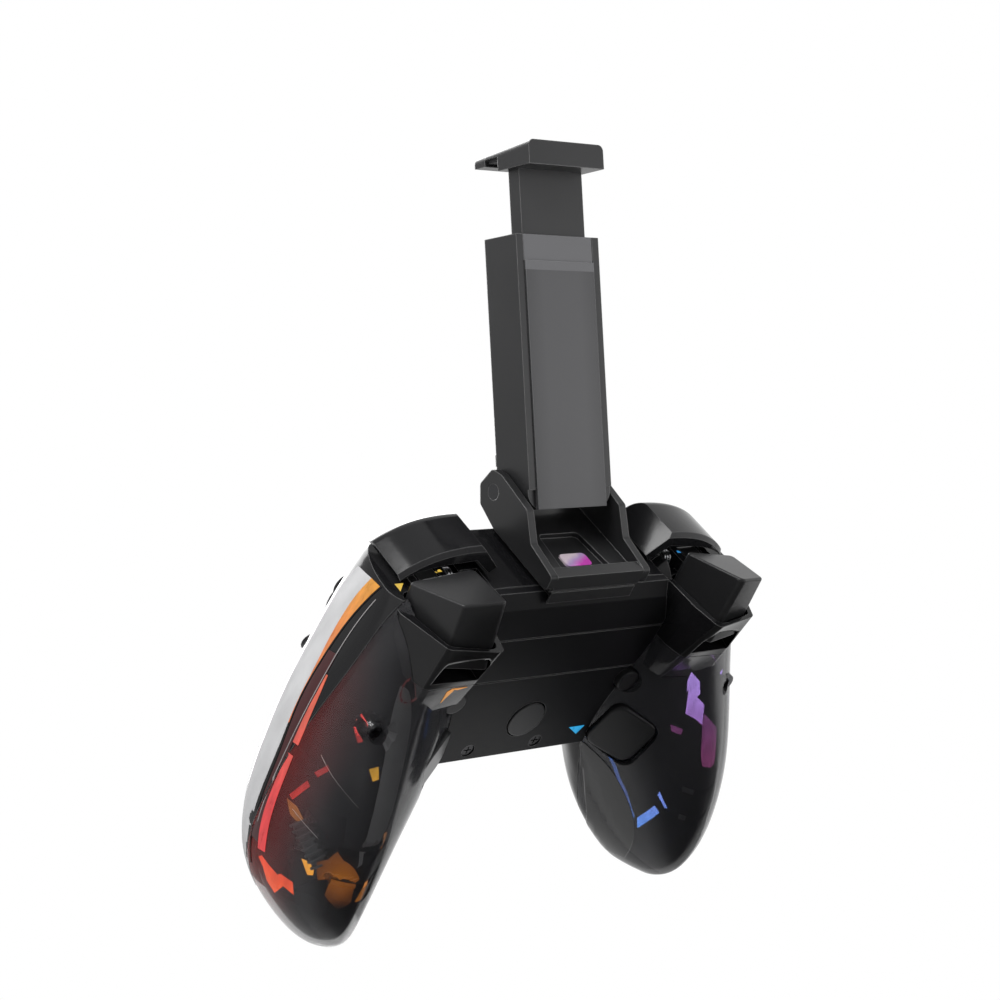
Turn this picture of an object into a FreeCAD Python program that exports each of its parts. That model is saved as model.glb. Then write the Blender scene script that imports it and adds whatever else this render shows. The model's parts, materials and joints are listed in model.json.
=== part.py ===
import FreeCAD, Part
import math
import os
from FreeCAD import Placement, Rotation, Vector

# Gamepad with a folding clamp arm. Millimetres.
# The pieces are drawn in the body frame: X to the player's right, Y towards the triggers,
# Z out of the face, with the rear plate in the plane Z = 0. At the end everything is turned
# and lifted so that the gamepad lies on its back, on its grips and trigger guards.

# Fits and gaps
GAP = 0.3
SEAM_GAP = 0.2
PIN_FIT = 0.15
PANEL_FIT = 0.15

# Shell
WALL = 2.0
FACE_Z = 26.0
BODY_TOP_Y = 28.5
BODY_BOTTOM_Y = -29.5
PLATE_BOTTOM_Y = -26.0
PLATE_CHAMFER_Y = 4.0
PLATE_CHAMFER_Z = 1.8
BODY_BOTTOM_Z = 7.0
REAR_PLAN = ((28.0, 40.0), (28.0, 25.0), (38.0, 5.0), (38.0, -18.0), (31.0, -40.0))
FACE_PLAN = ((45.0, 40.0), (45.0, 24.0), (49.0, 12.0), (48.0, -8.0), (43.0, -18.0), (31.0, -30.0))
FACE_PLAN_Z = 12.0
EDGE_ROUND = 3.0
SEAM_Z = 2.2
SEAM_TILT = 3.7
ARM_LIFT = 40.0

# Grip cross-sections, one row per station along Y:
# y, inner x, keel x, crown x, outer x, keel z, widest z, crown z
GRIP_STATIONS = (
    (29.0, 35.0, 45.0, 49.0, 55.0, 2.0, 10.0, 24.5),
    (24.0, 29.5, 45.0, 51.0, 58.0, -2.0, 8.0, 25.8),
    (10.0, 25.0, 46.5, 53.0, 62.8, -7.5, 6.5, 26.0),
    (-5.0, 22.5, 50.0, 51.0, 68.5, -13.0, 5.5, 26.0),
    (-20.0, 22.5, 53.0, 50.0, 72.5, -20.0, 3.5, 23.8),
    (-36.0, 28.5, 55.0, 51.0, 74.5, -25.0, 1.0, 18.5),
    (-48.0, 34.5, 55.5, 53.0, 72.5, -26.8, -1.5, 12.0),
    (-57.0, 41.0, 55.0, 54.5, 67.5, -25.0, -5.5, 5.0),
    (-62.8, 47.0, 55.0, 55.0, 62.0, -20.0, -9.0, -1.0),
    (-65.3, 51.0, 55.0, 55.0, 58.5, -14.5, -10.0, -6.0),
)
GRIP_BULGE_KEEL_IN = 1.2
GRIP_BULGE_KEEL_OUT = 1.9
GRIP_BULGE_CROWN_IN = 2.6
GRIP_BULGE_CROWN_OUT = 2.0
SECTION_STEPS = 6

# Trigger guard cups: corners in X and Z of the rim and of the root
RIM_Y = 25.2
GUARD_SPLIT_Y = 11.0
GUARD_ROOT_Y = 2.0
GUARD_RIM = ((32.4, 9.5), (33.4, -6.0), (35.4, -14.3), (50.0, -11.4), (55.6, 2.0), (55.6, 9.5))
GUARD_ROOT = ((31.0, 9.5), (31.5, -3.0), (33.5, -6.5), (49.0, -8.5), (54.0, 0.0), (54.0, 9.5))
GUARD_ROUND = 1.8
GUARD_FLOOR = 2.0

# Triggers
TRIGGER_LOW_Y = 18.5
TRIGGER_HIGH_Y = 44.0
TRIGGER_LOW = ((34.5, 6.3), (36.2, -12.6), (48.1, -10.3), (52.8, 6.3))
TRIGGER_HIGH = ((35.2, 6.3), (39.3, -10.9), (49.3, -8.4), (54.6, 6.3))
TRIGGER_END = (35.1, 33.4, 6.5)
TRIGGER_END_SLOPE_X = -0.138
TRIGGER_END_SLOPE_Z = -0.300
TRIGGER_ROUND = 1.4
TRIGGER_EDGE = 0.6
TRIGGER_CLEARANCE = 0.7
TRIGGER_PULL = 11.0
PIVOT_Y = 26.0
PIVOT_Z = 13.0
LEVER_X0 = 41.0
LEVER_X1 = 47.0
LEVER_BOSS_RADIUS = 2.4
TRIGGER_PIN_RADIUS = 1.0
EAR_WIDTH = 2.4
SPRING_WIRE = 0.25
SPRING_RADIUS = 1.75
SPRING_TURNS = 3
SPRING_ROOM = 4.0
SPRING_COIL_GAP = 0.4
EAR_BASE_Z = 8.0
LEVER_BASE_Z = 5.0
LEVER_SET_BACK = 3.0

# Bumpers
BUMPER_OUTLINE = ((24.6, 30.6), (31.3, 36.9), (41.0, 35.9), (49.6, 32.6), (53.4, 29.8))
BUMPER_UNDER = ((52.8, 28.6), (49.0, 30.6), (41.0, 32.4), (32.0, 33.2), (26.4, 28.85))
BUMPER_REAR_Z = 9.3
BUMPER_FRONT_Z = 25.0
BUMPER_RIM_Y = 1.1
BUMPER_FRONT_ROUND = 3.5
BAY_SIDE = 1.6
BAY_OUTER = (56.5, 27.1)
BAY_DEPTH = 8.0
SHOULDER_Y = 28.5

# Rear controls
PADDLE_X = 31.6
PADDLE_Y = -19.2
PADDLE_Z = -5.9
PADDLE_SIDE = 15.0
PADDLE_ROUND = 3.5
PADDLE_TURN = 17.5
PADDLE_SLOPE = 32.8
PADDLE_PROUD = 1.5
PADDLE_DEPTH = 5.5
PADDLE_TRAVEL = 1.0
PADDLE_LIP = 1.2
PADDLE_EDGE = 0.8
REAR_BUTTON_X = 28.8
REAR_BUTTON_Y = -3.6
REAR_BUTTON_RADIUS = 3.3
REAR_BUTTON_Z = -1.6
REAR_BUTTON_DEPTH = 5.6
REAR_BUTTON_TRAVEL = 0.6
REAR_BUTTON_EDGE = 0.5
CENTRE_BUTTON_Y = -14.2
CENTRE_BUTTON_RADIUS = 5.6
CENTRE_BUTTON_PROUD = 0.3
CENTRE_BUTTON_EDGE = 0.3
FLANGE = 0.6
FLANGE_THICK = 1.2
GROOVE_WIDTH = 0.4
GROOVE_DEPTH = 0.4
GROOVE_LINES = (0.9, 14.6)
GRIP_SCREW = (57.8, -2.1, -8.0)
PLATE_SCREWS = (15.1, -7.2)
PLATE_SCREW_Y = -22.9
SCREW_HEAD_RADIUS = 1.8
SCREW_HEAD_HEIGHT = 1.2
PLATE_SCREW_RECESS = 0.3
SCREW_SHANK_RADIUS = 1.0
SCREW_LENGTH = 9.0
SCREW_SEAT = 3.0
SCREW_POST_RADIUS = 2.6
SCREW_BOSS_WALL = 1.4
SCREW_BOSS_PROUD = 0.4
CROSS_LENGTH = 2.34
CROSS_WIDTH = 0.4
CROSS_DEPTH = 0.7
POST_RIB_HALF = 0.8

# Board, battery, socket
BOARD_Z = 10.4
BOARD_THICK = 1.6
BOARD_TOP = BOARD_Z + BOARD_THICK
BOARD_OUTLINE = ((-26.0, 23.5), (26.0, 23.5), (30.0, 17.5), (53.0, 17.5), (53.0, 2.0), (37.0, -16.0),
                 (29.0, -24.5), (-29.0, -24.5), (-37.0, -16.0), (-53.0, 2.0), (-53.0, 17.5), (-30.0, 17.5))
POST_RADIUS = 2.2
POSTS = ((22.0, 20.5), (0.0, 20.5), (-22.0, 20.5), (9.5, -21.0))
BATTERY_X = 20.0
BATTERY_Y0 = -6.0
BATTERY_Y1 = 21.0
BATTERY_THICK = 6.5
BATTERY_ROUND = 1.5
PORT_WIDTH = 9.0
PORT_HEIGHT = 3.2
PORT_DEPTH = 7.3
PORT_ROUND = 1.3
PORT_WALL = 0.4
PORT_TONGUE_HALF = 3.2
PORT_TONGUE_THICK = 0.7

# Thumb sticks
RIGHT_STICK = (28.0, -10.0)
LEFT_STICK = (-43.0, 9.0)
STICK_PIVOT_Z = 19.0
STICK_BASE_SIDE = 13.0
STICK_BASE_WALL = 1.1
STICK_BASE_TOP = 3.0
STICK_HOLE_RADIUS = 5.3
DOME_RADIUS = 11.3
DOME_WALL = 1.2
DOME_EDGE = 2.5
DOME_FIT = 0.5
OPENING_RING_HEIGHT = 1.2
OPENING_RING_WIDTH = 2.4
OPENING_RING_ROUND = 0.7
NECK_RADIUS = 4.0
CAP_RADIUS = 9.3
CAP_BOTTOM_Z = 22.0
CAP_TOP_Z = 27.5
CAP_DISH_DEPTH = 1.6
CAP_DISH_RADIUS = 30.0
CAP_ROUND = 1.0
FLARE_HEIGHT = 2.5
CAP_KNURLS = 36
KNURL_RADIUS = 0.35
YOKE_RADIUS = 2.9
YOKE_SLOT = 4.4
YOKE_SLOT_LENGTH = 7.2
YOKE_PIN_RADIUS = 1.0
ROCKER_RADIUS = 1.9
ROCKER_HALF = 2.0
ROCKER_PIN_RADIUS = 0.6
ROCKER_PIN_REACH = 0.4
STICK_SHAFT_RADIUS = 1.1
STICK_SHAFT_BELOW = 4.5
SHAFT_SHORT = 4.0
COLLAR_RADIUS = 1.7
COLLAR_THICK = 0.8

# Direction pad
DPAD = (-25.0, -10.0)
DPAD_SPAN = 21.0
DPAD_ARM = 6.8
DPAD_TOP_Z = 29.0
DPAD_BASE_Z = 21.2
DPAD_BASE_RADIUS = 11.5
DPAD_CLEARANCE = 0.95
DPAD_DISH_RADIUS = 16.0
DPAD_DISH_DEPTH = 0.8
DPAD_EDGE = 0.8
DPAD_WASHER_RADIUS = 4.0
DPAD_WASHER_THICK = 1.8
DPAD_WASHER_DROP = 0.6

# Face and centre buttons
FACE_BUTTONS = (40.0, 10.5)
FACE_BUTTON_PITCH = 8.7
FACE_BUTTON_RADIUS = 4.4
FACE_BUTTON_TOP = 29.4
FACE_BUTTON_TRAVEL = 1.2
HOME = (0.0, 8.0)
HOME_RADIUS = 5.5
SELECT_X = 13.0
SELECT_Y = 16.0
SELECT_LENGTH = 8.0
SELECT_WIDTH = 4.0
TURBO = (0.0, -8.0)
TURBO_RADIUS = 3.0
CENTRE_TOP = 27.0
BUTTON_GAP = 0.35
MAT_THICK = 1.0
MAT_DOME_RADIUS = 2.6
MAT_POST_RADIUS = 2.0
MAT_EDGE = 1.5
MAT_SIDE = 3.0
MAT_BAND = 6.0
BUTTON_EDGE = 0.8
SLOT_BUTTON_EDGE = 0.4

# Lights, motors and what shows through the grips
GUIDE_THICK = 1.4
GUIDE_HEIGHT = 5.5
GUIDE_DROP = 0.6
GUIDE_Y0 = -50.0
GUIDE_Y1 = 15.0
STRIP_THICK = 0.6
MOTOR = (56.0, -40.0)
MOTOR_Z = 3.0
MOTOR_RADIUS = 6.0
MOTOR_LENGTH = 12.0
MOTOR_SHAFT_RADIUS = 1.0
MOTOR_NOSE = 0.8
MOTOR_NOSE_RADIUS = 2.4
WEIGHT_RADIUS = 7.0
WEIGHT_THICK = 5.0
CRADLE_THICK = 1.6
CRADLE_HALF = 7.0
CONNECTOR_Y = -48.0
CONNECTOR_LENGTH = 8.0
CONNECTOR_DEPTH = 4.0
CONNECTOR_RIBS = 5
CONNECTOR_GROOVE = 0.6

# Clamp, in its own frame: origin on the tilt pin, Y along the arm, Z to the gripping side
HINGE_Y = 38.0
HINGE_Z = 28.7
TILT_PIN_RADIUS = 2.0
FOOT_HALF_LOW = 13.7
FOOT_HALF_HIGH = 14.4
FOOT_REAR_Z = -0.5
FOOT_STEP_Y = 29.7
FOOT_HOOK = 2.2
FOOT_HOOK_THICK = 0.4
TRAY_HALF = 16.3
TRAY_FLOOR_LOW = 30.6
TRAY_FLOOR_TOP = 32.4
CHEEK_THICK = 2.2
CHEEK = ((30.6, -0.7), (34.8, -0.7), (36.4, 10.1), (42.3, 16.1), (43.4, 28.6), (42.4, 32.3),
         (36.6, 34.0), (32.5, 31.1), (30.6, 23.4))
CHEEK_ROUND = 1.2
BAR_DEPTH = 3.5
BAR_TOP = 34.8
WINDOW_Z = 9.0
WINDOW_HALF = 4.2
WINDOW_LENGTH = 4.6
WINDOW_THICK = 0.8
WINDOW_PROUD = 0.4
WINDOW_ROUND = 1.2
POCKET_HALF = 8.0
POCKET_DEPTH = 1.4
POCKET_Z = (4.0, 18.0)
POCKET_TAPER = 1.5
POCKET_ROUND = 1.5
ARM_HALF = 13.5
ARM_BOTTOM = -4.9
ARM_TOP = 62.6
ARM_BACK = -11.0
ARM_FRONT = 1.55
ARM_CAVITY_Y = 8.0
ARM_END_ROUND = 4.0
ARM_RAIL = 2.2
ARM_RAIL_DROP = 0.4
COVER_HALF = 11.2
COVER_THICK = 1.0
COVER_BAND = 6.4
COVER_BAND_DROP = 0.5
SLIDER_HALF = 10.3
SLIDER_BACK = -9.2
SLIDER_THICK = 4.0
SLIDER_BOTTOM = 30.0
SLIDER_SEAT = 1.5
SLOT_HALF = 3.0
SLOT_END = 4.0
SLOT_DEPTH = 1.2
JAW_HALF = 12.2
JAW_TOP = 85.0
JAW_BOTTOM = 79.0
JAW_LIP_BOTTOM = 80.8
JAW_BACK = -15.6
JAW_FRONT = 5.4
JAW_ROUND = 1.6
JAW_SLOPE = 1.6
JAW_LIP_THICK = 4.0
JAW_HEEL = 5.0
PAD_THICK = 1.5
UPPER_PAD_THICK = 0.9
PAD_SHORT = 0.4
GRIP_LOW = 10.65
GRIP_HIGH = 81.55
LEDGE_FRONT = 4.4
LEDGE_BOTTOM = 6.3
LEDGE_SIDE = 1.5
LEDGE_ROUND = 1.0

# Longer than anything here, for tools that cut right through
REACH = 200.0

# How edges are told apart by place and length
TOUCH = 0.01
NEAR = 0.1
LONG_EDGE = 10.0

# The search for the rest position
STEEPEST_REST = 30.0
REST_TOLERANCE = 0.002


def box(x0, x1, y0, y1, z0, z1):
    return Part.makeBox(x1 - x0, y1 - y0, z1 - z0, Vector(x0, y0, z0))


def rod(radius, start, end):
    axis = end - start
    return Part.makeCylinder(radius, axis.Length, start, axis)


def ring(outer, inner, start, end):
    return rod(outer, start, end).cut(rod(inner, start, end))


def mirrored(shape):
    return shape.mirror(Vector(0, 0, 0), Vector(1, 0, 0))


def rounded_wire(corners, radius):
    """A closed planar outline through the corners, each corner an arc of the given radius."""
    edges = []
    ends = []
    count = len(corners)
    for i in range(count):
        corner = corners[i]
        back = (corners[i - 1] - corner).normalize()
        ahead = (corners[(i + 1) % count] - corner).normalize()
        half = back.getAngle(ahead) / 2.0
        reach = radius / math.tan(half)
        inward = (back + ahead).normalize()
        middle = corner + inward * (radius / math.sin(half) - radius)
        ends.append((corner + back * reach, middle, corner + ahead * reach))
    for i in range(count):
        start, middle, end = ends[i]
        edges.append(Part.Arc(start, middle, end).toShape())
        edges.append(Part.LineSegment(end, ends[(i + 1) % count][0]).toShape())
    return Part.Wire(edges)


def outline_xy(points, z, radius=None):
    corners = [Vector(x, y, z) for x, y in points]
    if radius:
        return rounded_wire(corners, radius)
    return Part.makePolygon(corners + corners[:1])


def outline_xz(points, y, radius):
    return rounded_wire([Vector(x, y, z) for x, z in points], radius)


def outline_yz(points, x, radius=None):
    corners = [Vector(x, y, z) for y, z in points]
    if radius:
        return rounded_wire(corners, radius)
    return Part.makePolygon(corners + corners[:1])


def extruded(wire, vector):
    return Part.Face(wire).extrude(vector)


def prism_xy(points, z0, z1, radius=None):
    return extruded(outline_xy(points, z0, radius), Vector(0, 0, z1 - z0))


def prism_yz(points, x0, x1, radius=None):
    return extruded(outline_yz(points, x0, radius), Vector(x1 - x0, 0, 0))


def grown(wire, amount):
    if abs(amount) < 1e-6:
        return wire
    return wire.makeOffset2D(amount)


def rounded_edges(shape, radius, chosen):
    edges = [edge for edge in shape.Edges if chosen(edge)]
    return shape.makeFillet(radius, edges)


def largest_solid(shape):
    return max(shape.Solids, key=lambda solid: solid.Volume)


def middle(edge):
    return edge.valueAt((edge.FirstParameter + edge.LastParameter) / 2.0)


def seam_side(upper):
    """Everything on one side of the tilted seam plane, half a seam gap away from it."""
    low = SEAM_GAP / 2.0 if upper else -REACH - SEAM_GAP / 2.0
    block = box(-REACH, REACH, -REACH, REACH, low, low + REACH)
    block.Placement = Placement(Vector(0, 0, SEAM_Z), Rotation(Vector(1, 0, 0), SEAM_TILT))
    return block


def quarter_power(value, bulge):
    return math.copysign(abs(value) ** (2.0 / bulge), value)


def grip_wire(station, inset):
    """One grip cross-section: four quarter curves that meet at the keel, the crown and the sides."""
    y, x_in, x_keel, x_crown, x_out, z_keel, z_wide, z_crown = station
    points = []
    for step in range(4 * SECTION_STEPS):
        angle = math.pi / 2.0 * step / SECTION_STEPS
        side = math.cos(angle)
        height = math.sin(angle)
        above = step <= 2 * SECTION_STEPS
        outward = side > 0.0
        if above:
            bulge = GRIP_BULGE_CROWN_OUT if outward else GRIP_BULGE_CROWN_IN
            reach_z = z_crown - z_wide - inset
        else:
            bulge = GRIP_BULGE_KEEL_OUT if outward else GRIP_BULGE_KEEL_IN
            reach_z = z_wide - z_keel - inset
        x_mid = x_crown if above else x_keel
        reach_x = (x_out - x_mid if outward else x_mid - x_in) - inset
        points.append(Vector(x_mid + quarter_power(side, bulge) * reach_x, y,
                             z_wide + quarter_power(height, bulge) * reach_z))
    curve = Part.BSplineCurve()
    curve.interpolate(Points=points, PeriodicFlag=True)
    return Part.Wire(curve.toShape())


def grip_solid(inset):
    """The grip, inset from its outside. A cavity stops a wall's thickness short of the shoulder."""
    stations = GRIP_STATIONS
    if inset >= WALL:
        stations = [row for row in GRIP_STATIONS if row[4] - row[1] > 4.0 * inset]
    solid = Part.makeLoft([grip_wire(row, inset) for row in stations], True, False)
    if inset >= WALL:
        solid = solid.common(box(0.0, REACH, -REACH, SHOULDER_Y - WALL, -REACH, REACH))
    return solid


def centre_block(inset):
    """The middle of the body: a narrow rear part and, above it, the wide face between the grips."""
    side = ((PLATE_BOTTOM_Y + inset, inset), (BODY_TOP_Y - PLATE_CHAMFER_Y - inset, inset),
            (BODY_TOP_Y - inset, PLATE_CHAMFER_Z + inset), (BODY_TOP_Y - inset, FACE_Z - inset),
            (BODY_BOTTOM_Y + EDGE_ROUND + inset, FACE_Z - inset),
            (BODY_BOTTOM_Y + inset, FACE_Z - EDGE_ROUND - inset),
            (BODY_BOTTOM_Y + inset, BODY_BOTTOM_Z))
    block = prism_yz(side, -REACH, REACH)
    rear = mirrored_plan(REAR_PLAN, inset)
    face = mirrored_plan(FACE_PLAN, inset)
    low = block.common(prism_xy(rear, -EDGE_ROUND, FACE_Z + EDGE_ROUND))
    high = block.common(prism_xy(face, FACE_PLAN_Z + inset, FACE_Z + EDGE_ROUND))
    return low.fuse(high).removeSplitter()


def mirrored_plan(points, inset):
    """A plan on both sides of the middle from its right-hand corners, which go from top to bottom."""
    right = [(x - inset, y) for x, y in points]
    left = [(-x, y) for x, y in reversed(right)]
    return right + left


def guard_wire(corners, y, amount):
    return grown(outline_xz(corners, y, GUARD_ROUND), amount)


def guard_form(amount, low_y, high_y):
    """The outside of a trigger guard, cut to a stretch of its length."""
    form = Part.makeLoft([guard_wire(GUARD_RIM, RIM_Y, amount),
                          guard_wire(GUARD_ROOT, GUARD_ROOT_Y, amount)], True, True)
    return form.common(box(0.0, REACH, low_y, high_y, -REACH, REACH))


def trigger_form(amount, low_y):
    low = grown(outline_xz(TRIGGER_LOW, TRIGGER_LOW_Y, TRIGGER_ROUND), amount)
    high = grown(outline_xz(TRIGGER_HIGH, TRIGGER_HIGH_Y, TRIGGER_ROUND), amount)
    form = Part.makeLoft([low, high], True, True)
    if low_y < TRIGGER_LOW_Y:
        form = form.fuse(extruded(low, Vector(0, low_y - TRIGGER_LOW_Y, 0)))
    return form


def trigger_end_tool():
    """The half space beyond the trigger's sloping end face."""
    normal = Vector(-TRIGGER_END_SLOPE_X, 1.0, -TRIGGER_END_SLOPE_Z)
    tool = box(-REACH, REACH, -REACH, REACH, 0.0, REACH)
    tool.Placement = Placement(Vector(*TRIGGER_END), Rotation(Vector(0, 0, 1), normal))
    return tool


def pulled(shape):
    """A trigger shape turned to the end of its pull."""
    turned = shape.copy()
    turned.rotate(Vector(0, PIVOT_Y, PIVOT_Z), Vector(-1, 0, 0), TRIGGER_PULL)
    return turned


def guard_pocket():
    """Where the trigger and its lever move inside the guard."""
    floor = GUARD_SPLIT_Y + GUARD_FLOOR
    pocket = trigger_form(TRIGGER_CLEARANCE, floor)
    slot = box(LEVER_X0 - 2.0 * GAP, LEVER_X1 + 2.0 * GAP, TRIGGER_LOW_Y - 2.0, REACH, 0.0, REACH)
    return pocket.fuse([slot, pulled(trigger_form(TRIGGER_CLEARANCE, TRIGGER_LOW_Y))])


def trigger_guard():
    cup = guard_form(0.0, GUARD_SPLIT_Y, RIM_Y)
    ears = []
    ear_side = ((TRIGGER_LOW_Y, EAR_BASE_Z), (BODY_TOP_Y, EAR_BASE_Z),
                (BODY_TOP_Y, PIVOT_Z + LEVER_BOSS_RADIUS),
                (PIVOT_Y - LEVER_BOSS_RADIUS, PIVOT_Z + LEVER_BOSS_RADIUS))
    for x in (LEVER_X0 - 2.0 * GAP - EAR_WIDTH, LEVER_X1 + 2.0 * GAP):
        ears.append(prism_yz(ear_side, x, x + EAR_WIDTH))
    guard = cup.fuse(ears).cut(guard_pocket())
    bore = rod(TRIGGER_PIN_RADIUS, Vector(0.0, PIVOT_Y, PIVOT_Z), Vector(REACH, PIVOT_Y, PIVOT_Z))
    return guard.cut(bore).removeSplitter()


def trigger():
    body = trigger_form(0.0, TRIGGER_LOW_Y).cut(trigger_end_tool())
    end_normal = Vector(-TRIGGER_END_SLOPE_X, 1.0, -TRIGGER_END_SLOPE_Z).normalize()
    point = Vector(*TRIGGER_END)
    body = rounded_edges(body, TRIGGER_EDGE, lambda edge: all(
        abs((vertex.Point - point).dot(end_normal)) < TOUCH for vertex in edge.Vertexes))
    lever_side = ((TRIGGER_LOW_Y + LEVER_SET_BACK, LEVER_BASE_Z),
                  (PIVOT_Y + LEVER_BOSS_RADIUS, LEVER_BASE_Z),
                  (PIVOT_Y + LEVER_BOSS_RADIUS, PIVOT_Z), (PIVOT_Y - LEVER_BOSS_RADIUS, PIVOT_Z))
    lever = prism_yz(lever_side, LEVER_X0, LEVER_X1)
    boss = rod(LEVER_BOSS_RADIUS, Vector(LEVER_X0, PIVOT_Y, PIVOT_Z), Vector(LEVER_X1, PIVOT_Y, PIVOT_Z))
    bore = rod(TRIGGER_PIN_RADIUS + PIN_FIT, Vector(LEVER_X0 - 1.0, PIVOT_Y, PIVOT_Z),
               Vector(LEVER_X1 + 1.0, PIVOT_Y, PIVOT_Z))
    return body.fuse([lever, boss]).cut(bore).removeSplitter()


def pin_reach():
    """How far a trigger's pin stands out beside its lever, through the ear."""
    return 2.0 * GAP + EAR_WIDTH


def trigger_pin():
    start = LEVER_X0 - pin_reach() - SPRING_ROOM + 2.0 * GAP
    return rod(TRIGGER_PIN_RADIUS, Vector(start, PIVOT_Y, PIVOT_Z),
               Vector(LEVER_X1 + pin_reach(), PIVOT_Y, PIVOT_Z))


def trigger_spring():
    """A coil round the pin, beside the inner ear."""
    pitch = 2.0 * SPRING_WIRE + SPRING_COIL_GAP
    start = LEVER_X0 - pin_reach() - GAP - SPRING_WIRE
    helix = Part.makeHelix(pitch, pitch * SPRING_TURNS, SPRING_RADIUS)
    circle = Part.Circle(Vector(SPRING_RADIUS, 0, 0), Vector(0, 1, 0), SPRING_WIRE).toShape()
    coil = Part.Wire(helix.Edges).makePipeShell([Part.Wire(circle)], True, True)
    coil.Placement = Placement(Vector(start, PIVOT_Y, PIVOT_Z), Rotation(Vector(0, 1, 0), -90.0))
    return coil


def bumper_plan(grow):
    outer = [Vector(x, y, 0) for x, y in BUMPER_OUTLINE]
    under = [Vector(x, y, 0) for x, y in BUMPER_UNDER]
    crown = Part.BSplineCurve()
    crown.interpolate(outer[1:])
    belly = Part.BSplineCurve()
    belly.interpolate(under[:4])
    edges = [Part.LineSegment(outer[0], outer[1]).toShape(), crown.toShape(),
             Part.LineSegment(outer[-1], under[0]).toShape(), belly.toShape(),
             Part.LineSegment(under[3], under[4]).toShape(),
             Part.LineSegment(under[4], outer[0]).toShape()]
    return Part.Face(grown(Part.Wire(edges), grow))


def bumper():
    plan = bumper_plan(0.0)
    plan.translate(Vector(0, 0, BUMPER_REAR_Z))
    body = plan.extrude(Vector(0, 0, BUMPER_FRONT_Z - BUMPER_REAR_Z))
    top_edges = [edge for edge in body.Edges
                 if abs(middle(edge).z - BUMPER_FRONT_Z) < TOUCH and middle(edge).y > BUMPER_UNDER[1][1]
                 and edge.Length > 3.0 * BUMPER_FRONT_ROUND and on_outline(middle(edge))]
    body = body.makeFillet(BUMPER_FRONT_ROUND, top_edges)
    rim_edges = [edge for edge in body.Edges
                 if abs(middle(edge).z - BUMPER_REAR_Z) < TOUCH and on_outline(middle(edge))
                 and middle(edge).x > BUMPER_OUTLINE[1][0]]
    return body.makeChamfer(BUMPER_RIM_Y, rim_edges)


def on_outline(point):
    """True beside the bumper's outer face, above a line from its inner to its outer end."""
    start = BUMPER_UNDER[3]
    end = BUMPER_UNDER[1]
    share = (point.x - start[0]) / (end[0] - start[0])
    return point.y > start[1] + share * (end[1] - start[1]) + 1.0


def bumper_bay():
    """Room for a bumper, its rocking and the hand's reach above the shoulder."""
    inner = BUMPER_OUTLINE[0][0] - BAY_SIDE
    floor = ((inner, SHOULDER_Y), (inner, REACH), (REACH, REACH), (REACH, 0.0), BAY_OUTER)
    return prism_xy(floor, BUMPER_REAR_Z - BAY_DEPTH, REACH)


def lever_bay():
    """Room inside the front shell for the trigger, its guard, its lever and the pin with its spring."""
    form = guard_form(PANEL_FIT, GUARD_SPLIT_Y, REACH)
    cover = trigger_form(TRIGGER_CLEARANCE, TRIGGER_LOW_Y)
    reach = pin_reach() + GAP
    low_y = TRIGGER_LOW_Y - LEVER_SET_BACK / 2.0
    lever = box(LEVER_X0 - reach - SPRING_ROOM, LEVER_X1 + reach, low_y, REACH,
                LEVER_BASE_Z, PIVOT_Z + LEVER_BOSS_RADIUS + 2.0 * GAP)
    return form.fuse([cover, lever])


def both(shape):
    return [shape, mirrored(shape)]


def face_hole(centre, radius):
    x, y = centre
    return rod(radius, Vector(x, y, button_base()), Vector(x, y, FACE_Z + 1.0))


def flange_room(centre):
    """Room under the shell for a face button's flange over its whole travel."""
    x, y = centre
    low = button_base() - FACE_BUTTON_TRAVEL - GAP
    return rod(FACE_BUTTON_RADIUS + FLANGE + BUTTON_GAP, Vector(x, y, low), Vector(x, y, FACE_Z - WALL))


def slot_outline(centre, length, width, grow):
    x, y = centre
    half = length / 2.0 + grow
    high = width / 2.0 + grow
    radius = width / 2.0 + grow - TOUCH
    return outline_xy(((x - half, y - high), (x + half, y - high), (x + half, y + high),
                       (x - half, y + high)), 0.0, radius)


def cross_outline(grow):
    x, y = DPAD
    long = DPAD_SPAN / 2.0 + grow
    half = DPAD_ARM / 2.0 + grow
    points = ((long, -half), (long, half), (half, half), (half, long), (-half, long), (-half, half),
              (-long, half), (-long, -half), (-half, -half), (-half, -long), (half, -long), (half, -half))
    return outline_xy([(x + dx, y + dy) for dx, dy in points], 0.0)


def face_button_centres():
    x, y = FACE_BUTTONS
    pitch = FACE_BUTTON_PITCH
    return {"button_south": (x, y - pitch), "button_east": (x + pitch, y),
            "button_west": (x - pitch, y), "button_north": (x, y + pitch)}


def stick_opening(centre):
    """The ball-shaped seat in which a stick's dome turns."""
    x, y = centre
    return Part.makeSphere(DOME_RADIUS + DOME_FIT, Vector(x, y, STICK_PIVOT_Z))


def face_openings():
    holes = [stick_opening(RIGHT_STICK), stick_opening(LEFT_STICK)]
    for centre in face_button_centres().values():
        holes.append(face_hole(centre, FACE_BUTTON_RADIUS + BUTTON_GAP))
        holes.append(flange_room(centre))
    holes.append(face_hole(HOME, HOME_RADIUS + BUTTON_GAP))
    holes.append(face_hole(TURBO, TURBO_RADIUS + BUTTON_GAP))
    low = FACE_Z - WALL - 1.0
    outlines = [cross_outline(DPAD_CLEARANCE)]
    for x in (-SELECT_X, SELECT_X):
        outlines.append(slot_outline((x, SELECT_Y), SELECT_LENGTH, SELECT_WIDTH, BUTTON_GAP))
    for outline in outlines:
        outline.translate(Vector(0, 0, low))
        holes.append(extruded(outline, Vector(0, 0, FACE_Z + 1.0 - low)))
    return holes


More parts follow.
